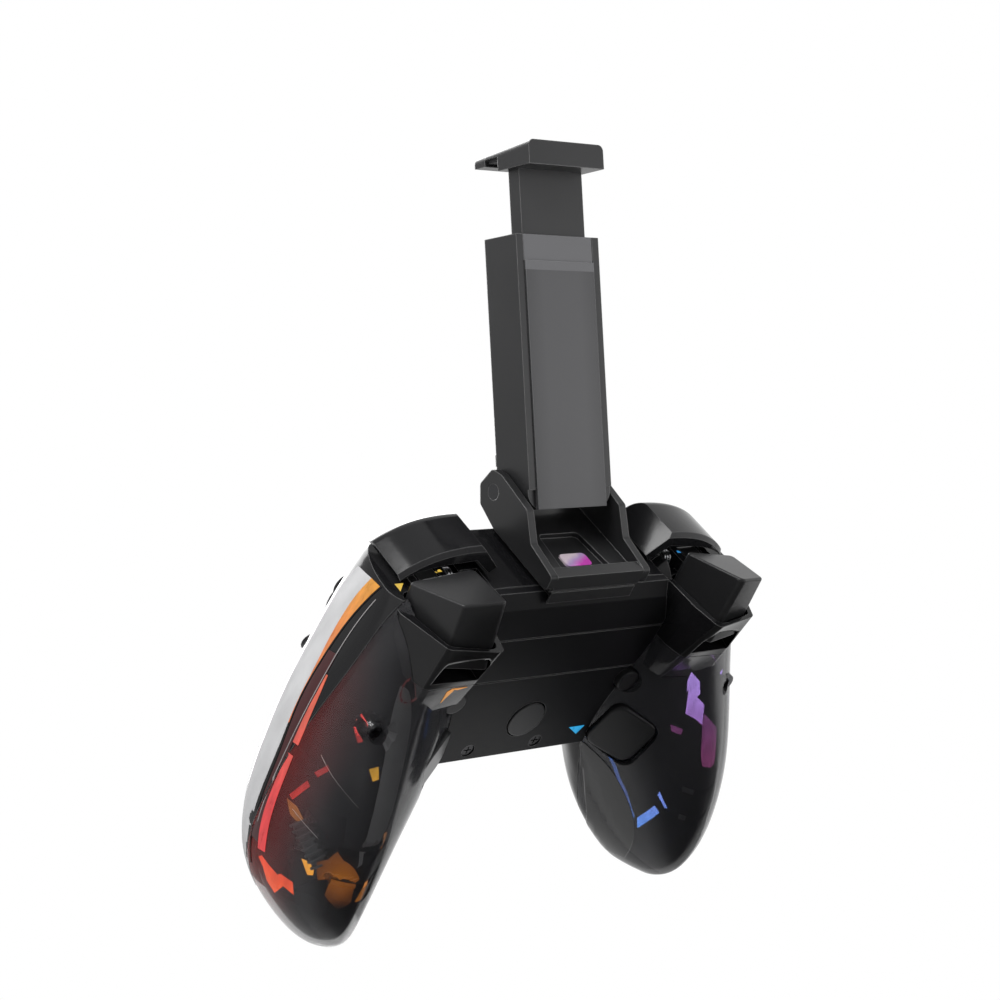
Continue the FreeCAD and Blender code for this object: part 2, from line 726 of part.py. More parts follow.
def stick_rings():
    """A raised collar round each stick's opening."""
    collars = []
    radius = DOME_RADIUS + DOME_FIT
    depth = FACE_Z - STICK_PIVOT_Z
    outer = math.sqrt(radius * radius - depth * depth) + OPENING_RING_WIDTH
    for x, y in (RIGHT_STICK, LEFT_STICK):
        body = rod(outer, Vector(x, y, FACE_Z - WALL), Vector(x, y, FACE_Z + OPENING_RING_HEIGHT))
        collars.append(rounded_edges(body, OPENING_RING_ROUND, lambda edge: middle(edge).z > FACE_Z + 1.0
                                     and edge.Length > math.pi * DOME_RADIUS))
    return collars


def board_posts():
    posts = []
    for x, y in POSTS:
        posts.append(rod(POST_RADIUS, Vector(x, y, BOARD_TOP), Vector(x, y, FACE_Z - WALL / 2.0)))
    return posts


def body_outside():
    grip = grip_solid(0.0)
    return centre_block(0.0).fuse([grip, mirrored(grip)])


def body_inside():
    grip = grip_solid(WALL)
    return centre_block(WALL).fuse([grip, mirrored(grip)])


def plate_region():
    """The rear wall of the middle block, which belongs to the back plate down to its full thickness."""
    return centre_block(0.0).common(box(-REACH, REACH, -REACH, REACH, -WALL, WALL + SEAM_GAP))


def screw_posts():
    """Bored posts that take the screws: one in each grip, and two with a rib beside the lower wall."""
    head = grip_screw_place()
    low = head.z + SCREW_HEAD_HEIGHT + SCREW_SEAT + GAP
    post = rod(SCREW_POST_RADIUS, Vector(head.x, head.y, low), Vector(head.x, head.y, FACE_Z - WALL))
    post = post.cut(rod(SCREW_SHANK_RADIUS + PIN_FIT, Vector(head.x, head.y, low - 1.0),
                        Vector(head.x, head.y, head.z + SCREW_LENGTH + GAP)))
    posts = both(post)
    low = WALL + SEAM_GAP
    high = BOARD_Z - 2.0 * GAP
    for x in PLATE_SCREWS:
        body = rod(SCREW_POST_RADIUS, Vector(x, PLATE_SCREW_Y, low), Vector(x, PLATE_SCREW_Y, high))
        rib = box(x - POST_RIB_HALF, x + POST_RIB_HALF, BODY_BOTTOM_Y + WALL / 2.0, PLATE_SCREW_Y, low, high)
        bore = rod(SCREW_SHANK_RADIUS + PIN_FIT, Vector(x, PLATE_SCREW_Y, 0.0),
                   Vector(x, PLATE_SCREW_Y, high))
        posts.append(body.fuse(rib.common(centre_block(WALL / 2.0))).cut(bore))
    return posts


def front_shell(outside, inside):
    shell = outside.cut(inside).common(seam_side(True)).cut(plate_region())
    shell = shell.fuse(stick_rings() + board_posts())
    for post in screw_posts():
        shell = shell.fuse(post)
    cuts = face_openings() + both(paddle_hole()) + both(rear_button_hole())
    shell = shell.cut(cuts)
    for bay in both(bumper_bay()) + both(lever_bay()):
        shell = shell.cut(bay)
    socket = box(-PORT_WIDTH / 2.0 - GAP, PORT_WIDTH / 2.0 + GAP, BODY_BOTTOM_Y - 1.0,
                 BODY_BOTTOM_Y + WALL + 1.0, BOARD_TOP - GAP, BOARD_TOP + PORT_HEIGHT + GAP)
    return largest_solid(shell.cut(socket))


def plate_screw_holes():
    holes = []
    for x in PLATE_SCREWS:
        holes.append(rod(SCREW_HEAD_RADIUS + PIN_FIT, Vector(x, PLATE_SCREW_Y, -1.0),
                         Vector(x, PLATE_SCREW_Y, PLATE_SCREW_RECESS + SCREW_HEAD_HEIGHT)))
        holes.append(rod(SCREW_SHANK_RADIUS + PIN_FIT, Vector(x, PLATE_SCREW_Y, 0.0),
                         Vector(x, PLATE_SCREW_Y, SCREW_LENGTH)))
    return holes


def back_plate(outside, inside):
    below = seam_side(False).fuse(box(-REACH, REACH, -REACH, REACH, -WALL, WALL))
    plate = centre_block(0.0).cut(centre_block(WALL)).common(below)
    grip = grip_solid(-PANEL_FIT)
    guard = guard_form(PANEL_FIT, GUARD_ROOT_Y, RIM_Y)
    cuts = both(grip) + both(guard) + plate_screw_holes()
    cuts.append(rod(CENTRE_BUTTON_RADIUS + BUTTON_GAP, Vector(0, CENTRE_BUTTON_Y, -1.0),
                    Vector(0, CENTRE_BUTTON_Y, WALL + 1.0)))
    cuts += both(rear_button_hole())
    for y in GROOVE_LINES:
        cuts.append(box(-REACH, REACH, y - GROOVE_WIDTH / 2.0, y + GROOVE_WIDTH / 2.0,
                        -1.0, GROOVE_DEPTH))
    return plate.cut(cuts).removeSplitter()


def paddle_placement():
    """Puts a shape drawn on the XY plane, facing +Z, on the sloping flank of the right grip."""
    slope = Rotation(Vector(0, 1, 0), 180.0 + PADDLE_SLOPE)
    turn = Rotation(Vector(0, 0, 1), PADDLE_TURN)
    return Placement(Vector(PADDLE_X, PADDLE_Y, PADDLE_Z), slope.multiply(turn))


def paddle_block(grow, low, high):
    half = PADDLE_SIDE / 2.0 + grow
    wire = outline_xy(((-half, -half), (half, -half), (half, half), (-half, half)), low, PADDLE_ROUND)
    return extruded(wire, Vector(0, 0, high - low))


def paddle():
    body = paddle_block(0.0, -PADDLE_DEPTH, 0.0)
    body = rounded_edges(body, PADDLE_EDGE, lambda edge: abs(middle(edge).z) < TOUCH)
    lip = paddle_block(PADDLE_LIP, -PADDLE_DEPTH, -PADDLE_DEPTH + FLANGE_THICK)
    body = body.fuse(lip).removeSplitter()
    body.Placement = paddle_placement()
    return body


def paddle_hole():
    low = -PADDLE_DEPTH - PADDLE_TRAVEL - WALL
    body = paddle_block(GAP, low, PADDLE_PROUD + WALL + 1.0)
    room = paddle_block(PADDLE_LIP + 2.0 * GAP, low, -PADDLE_DEPTH + FLANGE_THICK + GAP)
    body = body.fuse(room)
    body.Placement = paddle_placement()
    return body


def rear_button():
    low = REAR_BUTTON_Z
    body = rod(REAR_BUTTON_RADIUS, Vector(REAR_BUTTON_X, REAR_BUTTON_Y, low),
               Vector(REAR_BUTTON_X, REAR_BUTTON_Y, low + REAR_BUTTON_DEPTH))
    return rounded_edges(body, REAR_BUTTON_EDGE, lambda edge: edge.Length > LONG_EDGE
                         and middle(edge).z < low + NEAR)


def rear_button_hole():
    low = REAR_BUTTON_Z
    return rod(REAR_BUTTON_RADIUS + BUTTON_GAP, Vector(REAR_BUTTON_X, REAR_BUTTON_Y, -REACH),
               Vector(REAR_BUTTON_X, REAR_BUTTON_Y, low + REAR_BUTTON_DEPTH + REAR_BUTTON_TRAVEL + GAP))


def rear_centre_button():
    low = -CENTRE_BUTTON_PROUD
    body = rod(CENTRE_BUTTON_RADIUS, Vector(0, CENTRE_BUTTON_Y, low), Vector(0, CENTRE_BUTTON_Y, WALL + GAP))
    body = rounded_edges(body, CENTRE_BUTTON_EDGE, lambda edge: edge.Length > LONG_EDGE
                         and middle(edge).z < low + NEAR)
    flange = rod(CENTRE_BUTTON_RADIUS + FLANGE, Vector(0, CENTRE_BUTTON_Y, WALL + GAP),
                 Vector(0, CENTRE_BUTTON_Y, WALL + GAP + FLANGE_THICK))
    return body.fuse(flange).removeSplitter()


def grip_screw_place():
    """The grip screw's head centre on the keel side of the right grip."""
    return Vector(*GRIP_SCREW)


def rear_shell():
    grip = grip_solid(0.0)
    guard = guard_form(0.0, GUARD_ROOT_Y, GUARD_SPLIT_Y)
    guard_room = guard_form(-WALL, GUARD_ROOT_Y, GUARD_SPLIT_Y + 1.0)
    shell = grip.fuse(guard).cut([grip_solid(WALL), guard_room])
    shell = shell.common(seam_side(False))
    head = grip_screw_place()
    cuts = [centre_block(PANEL_FIT), guard_form(PANEL_FIT, GUARD_SPLIT_Y - PANEL_FIT, REACH),
            trigger_form(TRIGGER_CLEARANCE, TRIGGER_LOW_Y), paddle_hole(), rear_button_hole(),
            rod(SCREW_HEAD_RADIUS + PIN_FIT, head - Vector(0, 0, REACH),
                head + Vector(0, 0, SCREW_HEAD_HEIGHT)),
            rod(SCREW_SHANK_RADIUS + PIN_FIT, head, head + Vector(0, 0, SCREW_LENGTH))]
    shell = shell.cut(cuts)
    base = head + Vector(0, 0, SCREW_HEAD_HEIGHT)
    boss = ring(SCREW_HEAD_RADIUS + SCREW_BOSS_WALL, SCREW_HEAD_RADIUS + PIN_FIT,
                head - Vector(0, 0, SCREW_BOSS_PROUD), base)
    seat = ring(SCREW_HEAD_RADIUS + SCREW_BOSS_WALL, SCREW_SHANK_RADIUS + PIN_FIT, base,
                base + Vector(0, 0, SCREW_SEAT))
    return largest_solid(shell.fuse([boss, seat]))


def screw(head):
    """A cross-head screw whose head faces -Z, with the head's top at the given point."""
    base = head + Vector(0, 0, SCREW_HEAD_HEIGHT)
    body = rod(SCREW_HEAD_RADIUS, head, base)
    shank = rod(SCREW_SHANK_RADIUS, base, head + Vector(0, 0, SCREW_LENGTH))
    long = CROSS_LENGTH / 2.0
    thin = CROSS_WIDTH / 2.0
    low = head.z - 1.0
    high = head.z + CROSS_DEPTH
    cross = [box(head.x - long, head.x + long, head.y - thin, head.y + thin, low, high),
             box(head.x - thin, head.x + thin, head.y - long, head.y + long, low, high)]
    return body.fuse(shank).cut(cross).removeSplitter()


def shell_screws():
    right = screw(grip_screw_place())
    screws = both(right)
    for x in PLATE_SCREWS:
        screws.append(screw(Vector(x, PLATE_SCREW_Y, PLATE_SCREW_RECESS)))
    return Part.makeCompound(screws)


def main_board():
    return prism_xy(BOARD_OUTLINE, BOARD_Z, BOARD_TOP)


def battery():
    z0 = WALL + GAP / 2.0
    body = box(-BATTERY_X, BATTERY_X, BATTERY_Y0, BATTERY_Y1, z0, z0 + BATTERY_THICK)
    return rounded_edges(body, BATTERY_ROUND, lambda edge: abs(middle(edge).y - BATTERY_Y0) > 1.0
                         and abs(middle(edge).y - BATTERY_Y1) > 1.0)


def usb_port():
    high = BOARD_TOP + PORT_HEIGHT
    mouth = BODY_BOTTOM_Y + GAP
    half = PORT_WIDTH / 2.0
    body = box(-half, half, mouth, mouth + PORT_DEPTH, BOARD_TOP, high)
    body = rounded_edges(body, PORT_ROUND, lambda edge: abs(edge.Length - PORT_DEPTH) < TOUCH)
    half -= PORT_WALL
    hollow = box(-half, half, mouth - 1.0, mouth + PORT_DEPTH - 1.0, BOARD_TOP + PORT_WALL, high - PORT_WALL)
    hollow = rounded_edges(hollow, PORT_ROUND - PORT_WALL, lambda edge: edge.Length > PORT_DEPTH - 2.0
                           and abs(middle(edge).x) > PORT_TONGUE_HALF)
    centre = BOARD_TOP + PORT_HEIGHT / 2.0
    tongue = box(-PORT_TONGUE_HALF, PORT_TONGUE_HALF, mouth + 1.0, mouth + PORT_DEPTH - PORT_WALL,
                 centre - PORT_TONGUE_THICK / 2.0, centre + PORT_TONGUE_THICK / 2.0)
    return body.cut(hollow).fuse(tongue).removeSplitter()


def button_base():
    """The height of the buttons' undersides, with their flanges just under the shell."""
    return FACE_Z - WALL - GAP - FLANGE_THICK


def button_mat():
    """A rubber mat on the board with a dome under each button and a post under the pad."""
    z1 = BOARD_TOP + MAT_THICK
    dome_top = button_base() - FACE_BUTTON_TRAVEL - GAP
    x, y = FACE_BUTTONS
    reach = FACE_BUTTON_PITCH + MAT_DOME_RADIUS
    parts = [box(x - reach, x + reach - MAT_SIDE, y - reach, BOARD_OUTLINE[2][1] - GAP, BOARD_TOP, z1)]
    px, py = DPAD
    pad = DPAD_SPAN / 2.0 - MAT_EDGE
    band = MAT_BAND / 2.0
    ends = SELECT_X + SELECT_LENGTH / 2.0
    parts.append(box(px - pad, px + pad, py - pad, py + pad, BOARD_TOP, z1))
    parts.append(box(-ends, ends, HOME[1] - band, SELECT_Y + SELECT_WIDTH / 2.0, BOARD_TOP, z1))
    parts.append(box(-band, band, TURBO[1] - band, HOME[1], BOARD_TOP, z1))
    parts.append(box(px, x, HOME[1] - band, HOME[1] + band, BOARD_TOP, z1))
    parts.append(box(px - MAT_POST_RADIUS, px + MAT_POST_RADIUS, py, HOME[1] + band, BOARD_TOP, z1))
    domes = [HOME, TURBO, (-SELECT_X, SELECT_Y), (SELECT_X, SELECT_Y), (x, y)]
    domes += [(x - FACE_BUTTON_PITCH, y), (x + FACE_BUTTON_PITCH, y), (x, y - FACE_BUTTON_PITCH)]
    for cx, cy in domes:
        parts.append(rod(MAT_DOME_RADIUS, Vector(cx, cy, BOARD_TOP), Vector(cx, cy, dome_top)))
    parts.append(box(x - MAT_EDGE, x + MAT_EDGE, y, y + reach, dome_top - MAT_EDGE, dome_top))
    washer = DPAD_BASE_Z - DPAD_WASHER_DROP - DPAD_WASHER_THICK
    parts.append(rod(MAT_POST_RADIUS, Vector(px, py, BOARD_TOP), Vector(px, py, washer - 2.0 * GAP)))
    mat = parts[0].fuse(parts[1:])
    keep_out = []
    for cx, cy in (RIGHT_STICK, LEFT_STICK):
        half = STICK_BASE_SIDE / 2.0 + GAP
        keep_out.append(box(cx - half, cx + half, cy - half, cy + half, BOARD_TOP - 1.0, REACH))
    for cx, cy in POSTS:
        keep_out.append(rod(POST_RADIUS + GAP, Vector(cx, cy, BOARD_TOP - 1.0), Vector(cx, cy, REACH)))
    return mat.cut(keep_out).removeSplitter()


def at_stick(shape, centre):
    shape.translate(Vector(centre[0], centre[1], STICK_PIVOT_Z))
    return shape


def stick_base(centre):
    """The potentiometer housing: an open box on the board with bores for the yoke's pins."""
    half = STICK_BASE_SIDE / 2.0
    bottom = BOARD_TOP - STICK_PIVOT_Z
    inner = half - STICK_BASE_WALL
    body = box(-half, half, -half, half, bottom, STICK_BASE_TOP)
    body = body.cut([box(-inner, inner, -inner, inner, bottom + 1.0, STICK_BASE_TOP - 1.0),
                     rod(STICK_HOLE_RADIUS, Vector(0, 0, 0), Vector(0, 0, STICK_BASE_TOP + 1.0)),
                     rod(YOKE_PIN_RADIUS + PIN_FIT, Vector(-half - 1.0, 0, 0), Vector(half + 1.0, 0, 0))])
    return at_stick(body.removeSplitter(), centre)


def stick_yoke(centre):
    """The lower cradle: turns about X on its two pins and carries the rocker in its slot."""
    inner = STICK_BASE_SIDE / 2.0 - STICK_BASE_WALL
    half = STICK_HOLE_RADIUS - 2.0 * GAP
    bar = rod(YOKE_RADIUS, Vector(-half, 0, 0), Vector(half, 0, 0))
    reach = inner + STICK_BASE_WALL - PIN_FIT
    pins = rod(YOKE_PIN_RADIUS, Vector(-reach, 0, 0), Vector(reach, 0, 0))
    room = YOKE_SLOT_LENGTH / 2.0
    slot = box(-room, room, -YOKE_SLOT / 2.0, YOKE_SLOT / 2.0, -REACH, REACH)
    bores = rod(ROCKER_PIN_RADIUS + PIN_FIT, Vector(0, -REACH, 0), Vector(0, REACH, 0))
    return at_stick(bar.fuse(pins).cut([slot, bores]).removeSplitter(), centre)


def stick_rocker(centre):
    """The sleeve round the shaft: turns about Y on two short pins in the yoke."""
    sleeve = rod(ROCKER_RADIUS, Vector(0, 0, -ROCKER_HALF), Vector(0, 0, ROCKER_HALF))
    reach = YOKE_SLOT / 2.0 + ROCKER_PIN_REACH
    pins = rod(ROCKER_PIN_RADIUS, Vector(0, -reach, 0), Vector(0, reach, 0))
    bore = rod(STICK_SHAFT_RADIUS + PIN_FIT, Vector(0, 0, -REACH), Vector(0, 0, REACH))
    return at_stick(sleeve.fuse(pins).cut(bore).removeSplitter(), centre)


def stick_shaft(centre):
    shaft = rod(STICK_SHAFT_RADIUS, Vector(0, 0, -STICK_SHAFT_BELOW),
                Vector(0, 0, CAP_BOTTOM_Z - SHAFT_SHORT))
    low = ROCKER_HALF + 2.0 * GAP
    collar = rod(COLLAR_RADIUS, Vector(0, 0, low), Vector(0, 0, low + COLLAR_THICK))
    return at_stick(shaft.fuse(collar).removeSplitter(), centre)


def stick_cap(centre):
    """The rubber cap: a knurled dished head on a neck that flares into a dome."""
    dome = Part.makeSphere(DOME_RADIUS).cut(Part.makeSphere(DOME_RADIUS - DOME_WALL))
    dome = dome.common(box(-REACH, REACH, -REACH, REACH, DOME_EDGE, REACH))
    neck = rod(NECK_RADIUS, Vector(0, 0, DOME_RADIUS - 2.0 * DOME_WALL), Vector(0, 0, CAP_BOTTOM_Z + 1.0))
    flare = Part.makeCone(NECK_RADIUS, CAP_RADIUS - CAP_DISH_DEPTH, FLARE_HEIGHT,
                          Vector(0, 0, CAP_BOTTOM_Z - FLARE_HEIGHT))
    head = rod(CAP_RADIUS, Vector(0, 0, CAP_BOTTOM_Z), Vector(0, 0, CAP_TOP_Z))
    head = rounded_edges(head, CAP_ROUND, lambda edge: edge.Length > math.pi * CAP_RADIUS)
    dish = Part.makeSphere(CAP_DISH_RADIUS, Vector(0, 0, CAP_TOP_Z + CAP_DISH_RADIUS - CAP_DISH_DEPTH))
    cap = dome.fuse([neck, flare, head]).cut(dish)
    knurls = []
    for k in range(CAP_KNURLS):
        angle = 2.0 * math.pi * k / CAP_KNURLS
        at = Vector(CAP_RADIUS * math.cos(angle), CAP_RADIUS * math.sin(angle), 0)
        knurls.append(rod(KNURL_RADIUS, at + Vector(0, 0, CAP_BOTTOM_Z - 1.0),
                          at + Vector(0, 0, CAP_TOP_Z + 1.0)))
    bore = rod(STICK_SHAFT_RADIUS, Vector(0, 0, 0), Vector(0, 0, CAP_BOTTOM_Z - SHAFT_SHORT))
    return at_stick(cap.cut(knurls + [bore]).removeSplitter(), centre)


def dpad_cap():
    wire = cross_outline(0.0)
    wire.translate(Vector(0, 0, DPAD_BASE_Z))
    cross = extruded(wire, Vector(0, 0, DPAD_TOP_Z - DPAD_BASE_Z))
    cross = rounded_edges(cross, DPAD_EDGE, lambda edge: abs(middle(edge).z - DPAD_TOP_Z) < TOUCH)
    x, y = DPAD
    base = rod(DPAD_BASE_RADIUS, Vector(x, y, DPAD_BASE_Z), Vector(x, y, DPAD_BASE_Z + FLANGE_THICK))
    dish = Part.makeSphere(DPAD_DISH_RADIUS, Vector(x, y, DPAD_TOP_Z + DPAD_DISH_RADIUS - DPAD_DISH_DEPTH))
    return cross.fuse(base).cut(dish).removeSplitter()


def dpad_pivot():
    """The gimbal washer between the pad and the post under it."""
    x, y = DPAD
    top = DPAD_BASE_Z - DPAD_WASHER_DROP
    return rod(DPAD_WASHER_RADIUS, Vector(x, y, top - DPAD_WASHER_THICK), Vector(x, y, top))


def round_button(centre, radius, top):
    x, y = centre
    base = button_base()
    body = rod(radius, Vector(x, y, base), Vector(x, y, top))
    body = rounded_edges(body, BUTTON_EDGE, lambda edge: edge.Length > LONG_EDGE
                         and middle(edge).z > top - NEAR)
    flange = rod(radius + FLANGE, Vector(x, y, base), Vector(x, y, base + FLANGE_THICK))
    return body.fuse(flange).removeSplitter()


def slot_button(centre):
    base = button_base()
    wire = slot_outline(centre, SELECT_LENGTH, SELECT_WIDTH, 0.0)
    wire.translate(Vector(0, 0, base))
    body = extruded(wire, Vector(0, 0, CENTRE_TOP - base))
    body = rounded_edges(body, SLOT_BUTTON_EDGE, lambda edge: abs(middle(edge).z - CENTRE_TOP) < TOUCH)
    lip = slot_outline(centre, SELECT_LENGTH, SELECT_WIDTH, FLANGE)
    lip.translate(Vector(0, 0, base))
    return body.fuse(extruded(lip, Vector(0, 0, FLANGE_THICK))).removeSplitter()


def grip_lining(depth, thick, drop, height, y0, y1):
    """A strip that follows the outer side of the right grip's wall, under the seam."""
    layer = grip_solid(depth).cut(grip_solid(depth + thick))
    slab = box(0.0, REACH, -REACH, REACH, -drop - height, -drop)
    slab.Placement = Placement(Vector(0, 0, SEAM_Z), Rotation(Vector(1, 0, 0), SEAM_TILT))
    outer_side = box(GRIP_SCREW[0] + SCREW_POST_RADIUS + GAP, REACH, y0, y1, -REACH, REACH)
    return largest_solid(layer.common(slab).common(outer_side))


def light_guide():
    """The clear strip that follows the outer seam inside the right grip."""
    return grip_lining(WALL + GAP, GUIDE_THICK, GUIDE_DROP, GUIDE_HEIGHT, GUIDE_Y0, GUIDE_Y1)


def led_strip():
    """The thin flexible board behind the light guide."""
    depth = WALL + GAP + GUIDE_THICK + GAP
    return grip_lining(depth, STRIP_THICK, GUIDE_DROP, GUIDE_HEIGHT, GUIDE_Y0, GUIDE_Y1)


def motor():
    x, y = MOTOR
    body = rod(MOTOR_RADIUS, Vector(x, y, MOTOR_Z), Vector(x, y + MOTOR_LENGTH, MOTOR_Z))
    nose = rod(MOTOR_NOSE_RADIUS, Vector(x, y - MOTOR_NOSE, MOTOR_Z), Vector(x, y, MOTOR_Z))
    end = y - MOTOR_NOSE - GAP - WEIGHT_THICK
    shaft = rod(MOTOR_SHAFT_RADIUS, Vector(x, end, MOTOR_Z), Vector(x, y, MOTOR_Z))
    return body.fuse([nose, shaft]).removeSplitter()


def motor_weight():
    x, y = MOTOR
    y1 = y - MOTOR_NOSE - GAP
    disc = rod(WEIGHT_RADIUS, Vector(x, y1 - WEIGHT_THICK, MOTOR_Z), Vector(x, y1, MOTOR_Z))
    half = disc.common(box(0.0, REACH, -REACH, y1, -REACH, MOTOR_Z))
    hub = rod(MOTOR_NOSE_RADIUS, Vector(x, y1 - WEIGHT_THICK, MOTOR_Z), Vector(x, y1, MOTOR_Z))
    bore = rod(MOTOR_SHAFT_RADIUS + PIN_FIT, Vector(x, -REACH, MOTOR_Z), Vector(x, y1 + 1.0, MOTOR_Z))
    return half.fuse(hub).cut(bore).removeSplitter()


def motor_cradle():
    """Two ribs that stand on the grip shell's inside and hold the motor."""
    x, y = MOTOR
    ribs = []
    for y0 in (y + 1.0, y + MOTOR_LENGTH - 1.0 - CRADLE_THICK):
        ribs.append(box(x - CRADLE_HALF, x + CRADLE_HALF, y0, y0 + CRADLE_THICK, -REACH, MOTOR_Z))
    rib = ribs[0].fuse(ribs[1])
    rib = rib.common(grip_solid(WALL / 2.0)).common(seam_side(False))
    return rib.cut(rod(MOTOR_RADIUS + PIN_FIT, Vector(x, -REACH, MOTOR_Z), Vector(x, REACH, MOTOR_Z)))


def cable_connector():
    """The ribbed plug on the inner side of the light strip."""
    depth = WALL + GAP + GUIDE_THICK + GAP + STRIP_THICK
    body = grip_lining(depth, CONNECTOR_DEPTH, GUIDE_DROP, GUIDE_HEIGHT, CONNECTOR_Y,
                       CONNECTOR_Y + CONNECTOR_LENGTH)
    pitch = CONNECTOR_LENGTH / CONNECTOR_RIBS
    grooves = []
    for k in range(1, CONNECTOR_RIBS):
        y = CONNECTOR_Y + k * pitch
        grooves.append(grip_lining(depth + CONNECTOR_DEPTH - CONNECTOR_GROOVE, 1.0, GUIDE_DROP, GUIDE_HEIGHT,
                                   y - pitch / 4.0, y + pitch / 4.0))
    return largest_solid(body.cut(grooves))


def clip_foot():
    """The stepped socket that stands on the top face of the body."""
    low = box(-FOOT_HALF_LOW, FOOT_HALF_LOW, BODY_TOP_Y, FOOT_STEP_Y, FOOT_REAR_Z, FACE_Z - 1.0)
    high = box(-FOOT_HALF_HIGH, FOOT_HALF_HIGH, FOOT_STEP_Y, TRAY_FLOOR_LOW,
               FOOT_REAR_Z + FOOT_HOOK_THICK, FACE_Z)
    hook = box(-FOOT_HALF_LOW, FOOT_HALF_LOW, BODY_TOP_Y - FOOT_HOOK, BODY_TOP_Y,
               FOOT_REAR_Z, FOOT_REAR_Z + FOOT_HOOK_THICK)
    return low.fuse([high, hook]).removeSplitter()


def tray():
    """The channel between two cheeks that carries the tilt pin."""
    cheek = prism_yz(CHEEK, TRAY_HALF - CHEEK_THICK, TRAY_HALF, CHEEK_ROUND)
    inner = TRAY_HALF - CHEEK_THICK
    floor = box(-inner, inner, TRAY_FLOOR_LOW, TRAY_FLOOR_TOP, CHEEK[0][1], CHEEK[7][1] - 1.0)
    bar = box(-inner, inner, TRAY_FLOOR_LOW, BAR_TOP, CHEEK[0][1], CHEEK[0][1] + BAR_DEPTH)
    pin = rod(TILT_PIN_RADIUS, Vector(-REACH, HINGE_Y, HINGE_Z), Vector(REACH, HINGE_Y, HINGE_Z))
    low, high = POCKET_Z
    narrow = POCKET_HALF - POCKET_TAPER
    outline = outline_xz(((-POCKET_HALF, low), (POCKET_HALF, low), (narrow, high), (-narrow, high)),
                         TRAY_FLOOR_TOP - POCKET_DEPTH, POCKET_ROUND)
    pocket = extruded(outline, Vector(0, POCKET_DEPTH + 1.0, 0))
    well = window_block(PANEL_FIT)
    body = cheek.fuse([mirrored(cheek), floor, bar])
    return body.cut([pin, pocket, well]).removeSplitter()


def window_block(grow):
    half = WINDOW_HALF + grow
    long = WINDOW_LENGTH / 2.0 + grow
    low = TRAY_FLOOR_TOP - POCKET_DEPTH - WINDOW_THICK + WINDOW_PROUD
    wire = outline_xz(((-half, WINDOW_Z - long), (half, WINDOW_Z - long), (half, WINDOW_Z + long),
                       (-half, WINDOW_Z + long)), low, WINDOW_ROUND)
    return extruded(wire, Vector(0, WINDOW_THICK, 0))


def tilt_pin():
    return rod(TILT_PIN_RADIUS, Vector(-TRAY_HALF, HINGE_Y, HINGE_Z), Vector(TRAY_HALF, HINGE_Y, HINGE_Z))


def clamp_placement():
    return Placement(Vector(0, HINGE_Y, HINGE_Z), Rotation(Vector(1, 0, 0), ARM_LIFT))


def arm_housing():
    """The hollow arm with its lower ledge, open at the top for the slider."""
    body = box(-ARM_HALF, ARM_HALF, ARM_BOTTOM, ARM_TOP, ARM_BACK + COVER_THICK, ARM_FRONT)
    body = rounded_edges(body, ARM_END_ROUND, lambda edge: abs(middle(edge).x) > ARM_HALF - NEAR
                         and abs(middle(edge).y - ARM_BOTTOM) < NEAR and edge.Length < ARM_FRONT - ARM_BACK)
    rail = ARM_HALF - ARM_RAIL
    side_rail = box(rail, ARM_HALF, 0.0, ARM_TOP, ARM_BACK + ARM_RAIL_DROP, ARM_BACK + ARM_RAIL)
    half = ARM_HALF - LEDGE_SIDE
    ledge = box(-half, half, LEDGE_BOTTOM, GRIP_LOW - PAD_THICK, 0.0, LEDGE_FRONT)
    ledge = rounded_edges(ledge, LEDGE_ROUND, lambda edge: abs(middle(edge).z - LEDGE_FRONT) < NEAR)
    cavity = box(-SLIDER_HALF - GAP, SLIDER_HALF + GAP, ARM_CAVITY_Y, ARM_TOP + 1.0,
                 SLIDER_BACK - GAP, SLIDER_BACK + SLIDER_THICK + GAP)
    bore = rod(TILT_PIN_RADIUS + PIN_FIT, Vector(-ARM_HALF - 1.0, 0, 0), Vector(ARM_HALF + 1.0, 0, 0))
    relief = box(-rail + NEAR, rail - NEAR, -REACH, ARM_TOP + 1.0, ARM_BACK - 1.0,
                 ARM_BACK + COVER_THICK)
    housing = body.fuse([side_rail, mirrored(side_rail), ledge])
    return housing.cut([cavity, bore, relief]).removeSplitter()


def arm_cover():
    """The smooth grey cover on the back of the arm, with its lower band at the top end."""
    body = box(-COVER_HALF, COVER_HALF, ARM_BOTTOM, ARM_TOP, ARM_BACK, ARM_BACK + COVER_THICK)
    band = box(-COVER_HALF - 1.0, COVER_HALF + 1.0, ARM_TOP - COVER_BAND, ARM_TOP + 1.0, ARM_BACK - 1.0,
               ARM_BACK + COVER_BAND_DROP)
    return body.cut(band).removeSplitter()


def lower_jaw_pad():
    return box(-ARM_HALF + LEDGE_SIDE + 1.0, ARM_HALF - LEDGE_SIDE - 1.0, GRIP_LOW - PAD_THICK, GRIP_LOW,
               ARM_FRONT, LEDGE_FRONT - PAD_SHORT)


def slider_bar():
    body = box(-SLIDER_HALF, SLIDER_HALF, SLIDER_BOTTOM, JAW_BOTTOM + SLIDER_SEAT, SLIDER_BACK,
               SLIDER_BACK + SLIDER_THICK)
    slot = box(-SLOT_HALF, SLOT_HALF, SLIDER_BOTTOM + SLOT_END, ARM_TOP - 2.0 * SLOT_END, SLIDER_BACK - 1.0,
               SLIDER_BACK + SLOT_DEPTH)
    return body.cut(slot).removeSplitter()


